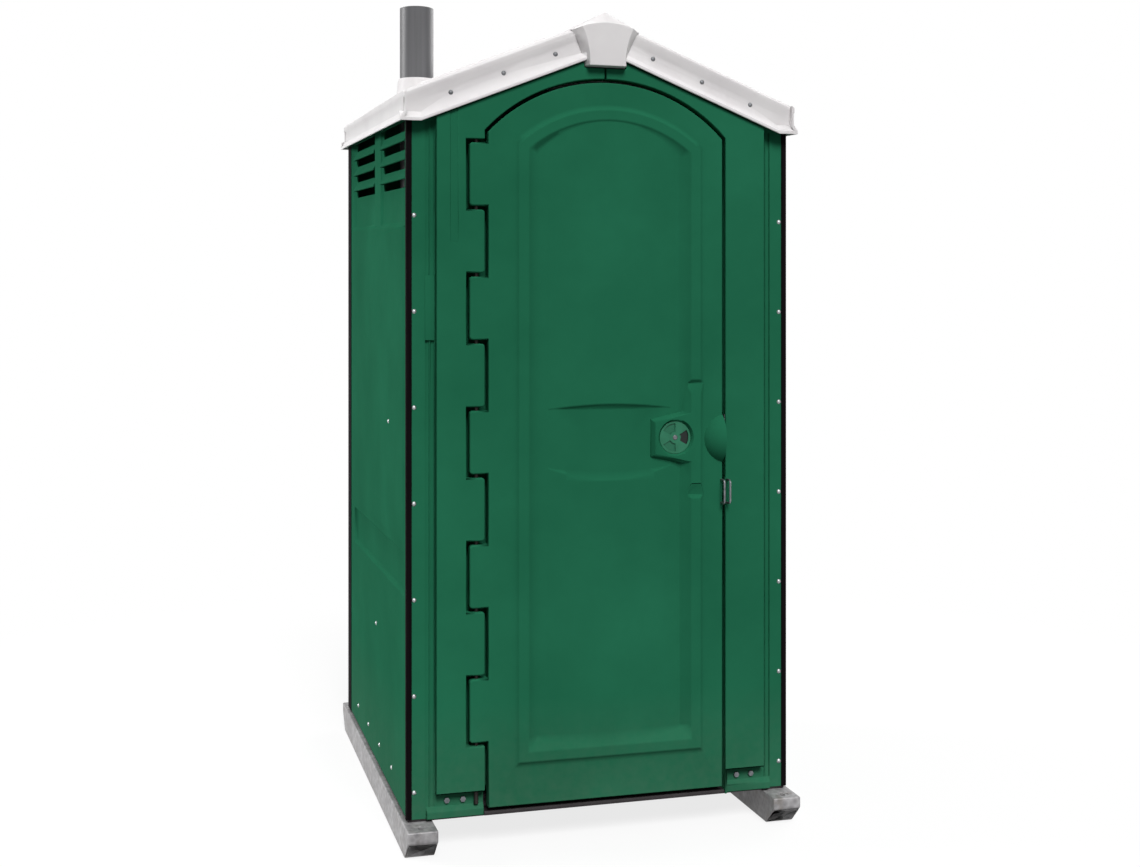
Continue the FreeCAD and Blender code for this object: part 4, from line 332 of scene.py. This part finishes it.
# Extruded vinyl: near black and dull, with draw lines 7 mm apart that run on for 330 mm.
vinyl, tree, place = new_finish("extruded_black_vinyl")
drawn = add(tree, "ShaderNodeMapping", {
    "Vector": place, "Scale": (scale_for(7.14), scale_for(7.14), scale_for(333))})
streak = add(tree, "ShaderNodeTexNoise", {"Vector": drawn, "Scale": 1.0, "Detail": 4.0})
colour = add(tree, "ShaderNodeValToRGB", {"Fac": streak}, ((0.3, "#0c090b"), (0.7, "#151113")))
bump = add(tree, "ShaderNodeBump", {"Height": streak, "Strength": 0.1, "Distance": 0.0005})
plastic = add(tree, "ShaderNodeBsdfPrincipled", {
    "Base Color": colour, "Roughness": 0.75, "Specular IOR Level": 0.02, "Normal": bump})
add(tree, "ShaderNodeOutputMaterial", {"Surface": plastic})
dress(vinyl, "corner_strip_front_left", "corner_strip_front_right", "corner_strip_rear_left",
      "corner_strip_rear_right")


# Roof. One pale moulding with a rim, a riveted channel and a flared lip round its edge, and a
# keystone at each gable. The pipe's collar is of the same plastic.

# Natural moulded polyethylene: milky white with faint clouds of 170 mm and a fine 2.4 mm grain.
# Light goes some 4 mm into it, which softens the shade in its channels.
pale, tree, place = new_finish("natural_moulded_polyethylene")
cloud = add(tree, "ShaderNodeTexNoise", {"Vector": place, "Scale": scale_for(166.7),
                                         "Detail": 5.0})
colour = add(tree, "ShaderNodeValToRGB", {"Fac": cloud}, ((0.3, "#d6d3d4"), (0.7, "#dfdddd")))
grain = add(tree, "ShaderNodeTexNoise", {"Vector": place, "Scale": scale_for(2.38)})
bump = add(tree, "ShaderNodeBump", {"Height": grain, "Strength": 0.12, "Distance": 0.0005})
plastic = add(tree, "ShaderNodeBsdfPrincipled", {
    "Base Color": colour, "Roughness": 0.5, "Specular IOR Level": 0.15, "Normal": bump,
    "Subsurface Weight": 0.9, "Subsurface Radius": (1.0, 1.0, 1.0), "Subsurface Scale": 0.004})
add(tree, "ShaderNodeOutputMaterial", {"Surface": plastic})
# The eaves' thin lips, past this half width, keep the edges that they are trimmed to.
eave_from = 0.53
moulded("roof_shell", 0.002, lambda x, y, z: abs(x) < eave_from, pale)
dress(pale, "vent_pipe_collar")


# Vent pipe. A length of grey PVC pipe from the tank up through the roof; the urinal's drain is
# of the same kind.

# Extruded PVC: mid grey with a soft gloss and draw lines 17 mm apart that run on for 500 mm.
pvc, tree, place = new_finish("extruded_grey_pvc")
drawn = add(tree, "ShaderNodeMapping", {
    "Vector": place, "Scale": (scale_for(16.7), scale_for(16.7), scale_for(500))})
streak = add(tree, "ShaderNodeTexNoise", {"Vector": drawn, "Scale": 1.0, "Detail": 4.0})
colour = add(tree, "ShaderNodeValToRGB", {"Fac": streak}, ((0.3, "#525254"), (0.7, "#606062")))
plastic = add(tree, "ShaderNodeBsdfPrincipled", {"Base Color": colour, "Roughness": 0.42,
                                                 "Specular IOR Level": 0.3})
add(tree, "ShaderNodeOutputMaterial", {"Surface": plastic})
dress(pvc, "vent_pipe", "urinal_drain_pipe")


# Fasteners. Domed aluminium rivets up the flanges and along the foot of the side walls, the same rivets in a
# darker grey in the roof's channels, where the grey is painted shade, and zinc plated hexagon bolts above each
# ledge.

# Bright aluminium: upset heads with a fine 6 mm mottle in colour and gloss.
aluminium, tree, place = new_finish("bright_upset_aluminium")
cloud = add(tree, "ShaderNodeTexNoise", {"Vector": place, "Scale": scale_for(6.25),
                                         "Detail": 3.0})
dull = add(tree, "ShaderNodeMapRange", {"Value": cloud, "To Min": 0.35, "To Max": 0.55})
colour = add(tree, "ShaderNodeValToRGB", {"Fac": cloud}, ((0.3, "#8a8e8f"), (0.7, "#a9acad")))
metal = add(tree, "ShaderNodeBsdfPrincipled", {"Base Color": colour, "Metallic": 1.0,
                                               "Roughness": dull})
add(tree, "ShaderNodeOutputMaterial", {"Surface": metal})
dress(aluminium, "front_rivets", "rear_rivets", "side_rivets")

# Darker aluminium: the same heads with the same mottle, rougher, and greyed by painted shade for the roof's
# channels in which they sit.
channel_shade_aluminium, tree, place = new_finish("aluminium_painted_channel_shade")
cloud = add(tree, "ShaderNodeTexNoise", {"Vector": place, "Scale": scale_for(6.25),
                                         "Detail": 4.0})
colour = add(tree, "ShaderNodeValToRGB", {"Fac": cloud}, ((0.3, "#5c5e60"), (0.7, "#7d7f81")))
metal = add(tree, "ShaderNodeBsdfPrincipled", {"Base Color": colour, "Metallic": 0.7,
                                               "Roughness": 0.55})
add(tree, "ShaderNodeOutputMaterial", {"Surface": metal})
# The roof's rivets take the darker copy, whose grey is painted shade.
dress(channel_shade_aluminium, "roof_rivets")

# Zinc plated steel: bluish silver, clouded by a thin white bloom in patches of 11 mm.
zinc, tree, place = new_finish("zinc_plated_steel")
cloud = add(tree, "ShaderNodeTexNoise", {"Vector": place, "Scale": scale_for(11.1),
                                         "Detail": 5.0})
colour = add(tree, "ShaderNodeValToRGB", {"Fac": cloud}, ((0.3, "#606266"), (0.7, "#808286")))
dull = add(tree, "ShaderNodeMapRange", {"Value": cloud, "To Min": 0.4, "To Max": 0.6})
metal = add(tree, "ShaderNodeBsdfPrincipled", {"Base Color": colour, "Metallic": 1.0,
                                               "Roughness": dull})
add(tree, "ShaderNodeOutputMaterial", {"Surface": metal})
dress(zinc, "ledge_bolts", "strike_plate", "jamb_padlock_loop", "door_padlock_loop",
      "dial_screw", "latch_spindle", "latch_bolt", "seat_hinge_posts")


# Door. Two moulded skins on a full-height rod. The outer skin carries the hinge tabs, a raised
# frame round a crowned field, a shallow scoop and the dial's boss; half a dome is the pull.

# Near black steel for the hinge rod, with a little brown in patches of 14 mm. The near black is painted shade, for
# the dark hinge gaps in which the rod lies.
hinge_shade_steel, tree, place = new_finish("hinge_rod_steel_painted_shade")
cloud = add(tree, "ShaderNodeTexNoise", {"Vector": place, "Scale": scale_for(14.3),
                                         "Detail": 5.0})
colour = add(tree, "ShaderNodeValToRGB", {"Fac": cloud}, ((0.35, "#15130f"), (0.75, "#2a2521")))
metal = add(tree, "ShaderNodeBsdfPrincipled", {"Base Color": colour, "Metallic": 0.5,
                                               "Roughness": 0.6})
add(tree, "ShaderNodeOutputMaterial", {"Surface": metal})
# The hinge rod's near black colour is painted shade.
dress(hinge_shade_steel, "hinge_rod")


def door_edge(x, y, z):
    """True for the skin's front edges that are rounded: none at the loops or round the dial."""
    return (y < column_face + door_front and clear_of_loops(x, z)
            and math.hypot(x - dial_x, z - dial_z) > boss_reach)


# The door's face is flush with the columns. It is cut at the dial, at the two slots above and
# below it, and at four levels through the plain part of the frame.
dial_x, _, dial_z = joint_at["latch_knob_turn"]
door_front, boss_reach = 0.005, 0.058
slot_levels = (dial_z - 0.165, dial_z + 0.156)
plain_levels = (0.3, 0.5, 0.7, 1.6)
door_cuts = [(2, at) for at in sorted(plain_levels + slot_levels + (dial_z,))]
moulded("door_outer_skin", wall_round, door_edge, green, door_cuts + loop_cuts + [hinge_cut])
# The pull's edges are round as they are, so that only its shading is smoothed.
moulded("dome_pull", 0.001, lambda x, y, z: False, green)
dress(green, "door_inner_skin")


# Latch. A turn knob inside slides the bolt; outside, a green cover has three windows on a disc
# that turns with the knob.

# Moulded ABS: the walls' green with a glossier face and a finer grain of 1.7 mm.
abs_green, tree, place = new_finish("moulded_green_abs")
cloud = add(tree, "ShaderNodeTexNoise", {"Vector": place, "Scale": scale_for(33.3),
                                         "Detail": 3.0})
colour = add(tree, "ShaderNodeValToRGB", {"Fac": cloud}, ((0.3, "#1f6247"), (0.7, "#277053")))
grain = add(tree, "ShaderNodeTexNoise", {"Vector": place, "Scale": scale_for(1.67)})
bump = add(tree, "ShaderNodeBump", {"Height": grain, "Strength": 0.1, "Distance": 0.0003})
plastic = add(tree, "ShaderNodeBsdfPrincipled", {"Base Color": colour, "Roughness": 0.4,
                                                 "Specular IOR Level": 0.3, "Normal": bump})
add(tree, "ShaderNodeOutputMaterial", {"Surface": plastic})
bezel_face, bezel_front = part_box("indicator_bezel")[0].y, 0.001
moulded("indicator_bezel", 0.001, lambda x, y, z: y < bezel_face + bezel_front, abs_green)

# Printed ABS: the disc's face. Green and red take turns under the three windows, red where the sine of three times
# the angle is above a level. Right of the middle the green is near black, which is painted shade in the right
# window.
windows, red_above, dark_from = 3, 0.3, 0.0125
print_and_shade, tree, place = new_finish("printed_abs_disc_and_painted_shade")
middle = add(tree, "ShaderNodeMapping", {"Vector": place, "Location": (-dial_x, 0.0, -dial_z)})
across = add(tree, "ShaderNodeSeparateXYZ", {"Vector": middle})
turn = add(tree, "ShaderNodeMath", {0: across.outputs["X"], 1: across.outputs["Z"]},
           operation="ARCTAN2")
triple = add(tree, "ShaderNodeMath", {0: turn, 1: windows}, operation="MULTIPLY")
beat = add(tree, "ShaderNodeMath", {0: triple}, operation="SINE")
locked = add(tree, "ShaderNodeMath", {0: beat, 1: red_above}, operation="GREATER_THAN")
colour = add(tree, "ShaderNodeMix", {0: locked, 6: linear("#1c5f45"), 7: linear("#9c1f1d")},
             data_type="RGBA")
# Painted shade: near black over the open green right of the middle.
dark = add(tree, "ShaderNodeMath", {0: across.outputs["X"], 1: dark_from},
           operation="GREATER_THAN")
open_third = add(tree, "ShaderNodeMath", {0: 1.0, 1: locked}, operation="SUBTRACT")
dark = add(tree, "ShaderNodeMath", {0: dark, 1: open_third}, operation="MULTIPLY")
colour = add(tree, "ShaderNodeMix", {0: dark, 6: colour.outputs[2], 7: linear("#0d1512")},
             data_type="RGBA")
plastic = add(tree, "ShaderNodeBsdfPrincipled", {"Base Color": colour.outputs[2],
                                                 "Roughness": 0.45, "Specular IOR Level": 0.3})
add(tree, "ShaderNodeOutputMaterial", {"Surface": plastic})
dress(print_and_shade, "indicator_disc")

# Moulded nylon: black with a slight bloom in clouds of 17 mm.
nylon, tree, place = new_finish("moulded_black_nylon")
cloud = add(tree, "ShaderNodeTexNoise", {"Vector": place, "Scale": scale_for(16.7),
                                         "Detail": 3.0})
colour = add(tree, "ShaderNodeValToRGB", {"Fac": cloud}, ((0.3, "#161617"), (0.7, "#232425")))
plastic = add(tree, "ShaderNodeBsdfPrincipled", {"Base Color": colour, "Roughness": 0.4,
                                                 "Specular IOR Level": 0.3})
add(tree, "ShaderNodeOutputMaterial", {"Surface": plastic})
dress(nylon, "latch_knob", "bolt_guide", "toilet_seat", "seat_lid", "paper_spindle")


# Tank, deck and urinal. Grey polyethylene mouldings: the deck lies on the tank, and the urinal
# and the paper holder are fixed to the side walls.

# Sanitary polyethylene: cool mid grey in faint clouds of 140 mm, with a fine 2.9 mm grain.
sanitary, tree, place = new_finish("moulded_sanitary_polyethylene")
cloud = add(tree, "ShaderNodeTexNoise", {"Vector": place, "Scale": scale_for(143),
                                         "Detail": 6.0})
colour = add(tree, "ShaderNodeValToRGB", {"Fac": cloud}, ((0.3, "#8c9091"), (0.7, "#9ea2a3")))
grain = add(tree, "ShaderNodeTexNoise", {"Vector": place, "Scale": scale_for(2.86)})
bump = add(tree, "ShaderNodeBump", {"Height": grain, "Strength": 0.15, "Distance": 0.0005})
plastic = add(tree, "ShaderNodeBsdfPrincipled", {"Base Color": colour, "Roughness": 0.42,
                                                 "Specular IOR Level": 0.3, "Normal": bump})
add(tree, "ShaderNodeOutputMaterial", {"Surface": plastic})
dress(sanitary, "waste_tank", "tank_deck", "urinal", "paper_holder")


# Paper rolls. Two rolls of soft tissue that turn on the roller, each wound round an open bore,
# with slightly dished ends and rounded edges.

# Embossed tissue: soft matt white with 4 mm quilting. The turns' edges are drawn 3 mm apart,
# because real ones are too fine to show.
tissue, tree, place = new_finish("embossed_soft_tissue")
cloud = add(tree, "ShaderNodeTexNoise", {"Vector": place, "Scale": scale_for(33.3),
                                         "Detail": 4.0})
colour = add(tree, "ShaderNodeValToRGB", {"Fac": cloud}, ((0.3, "#dedbd5"), (0.7, "#eae8e3")))
emboss = add(tree, "ShaderNodeTexVoronoi", {"Vector": place, "Scale": scale_for(3.85)})
bump = add(tree, "ShaderNodeBump", {"Height": emboss, "Strength": 0.4, "Distance": 0.0006})
paper = add(tree, "ShaderNodeBsdfPrincipled", {"Base Color": colour, "Roughness": 0.9,
                                               "Specular IOR Level": 0.1, "Normal": bump})
add(tree, "ShaderNodeOutputMaterial", {"Surface": paper})
roll_bore, roll_radius, end_inset, bore_round, rim_round = 0.0205, 0.0545, 0.0005, 0.002, 0.003
turn_count, half_turn, turn_groove, roll_dish = 12, 0.0008, 0.0006, 0.0012
for name in ("paper_roll_front", "paper_roll_rear"):
    low, high = (Vector(corner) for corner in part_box(name))
    axis = (low + high) / 2
    y0, y1 = low.y + end_inset, high.y - end_inset
    bm = bmesh.new()
    profile = [(roll_bore, y0 + bore_round)]
    for k in range(turn_count):
        radius = roll_bore + (roll_radius - roll_bore) * (k + 0.5) / turn_count
        dent = roll_dish * math.sin(math.pi * (k + 0.5) / turn_count)
        profile += [(radius - half_turn, y0 + dent),
                    (radius + half_turn, y0 + dent + turn_groove)]
    profile += [(roll_radius, y0 + rim_round), (roll_radius, axis.y)]
    profile += [(radius, y0 + y1 - y) for radius, y in reversed(profile[:-1])]
    ring = [bm.verts.new((axis.x + radius, y, axis.z)) for radius, y in profile]
    loop = [bm.edges.new(pair) for pair in zip(ring, ring[1:] + ring[:1])]
    bmesh.ops.spin(bm, geom=ring + loop, cent=axis, axis=(0, 1, 0), angle=2 * math.pi, steps=72,
                   use_merge=True)
    bmesh.ops.recalc_face_normals(bm, faces=bm.faces)
    for face in bm.faces:
        face.smooth = True
    mesh = bpy.data.meshes.new(name + "_tissue")
    bm.to_mesh(mesh)
    bm.free()
    mesh.set_sharp_from_angle(angle=math.radians(50))
    mesh.materials.append(tissue)
    stand_in(into_scene(name + "_tissue", mesh), name)
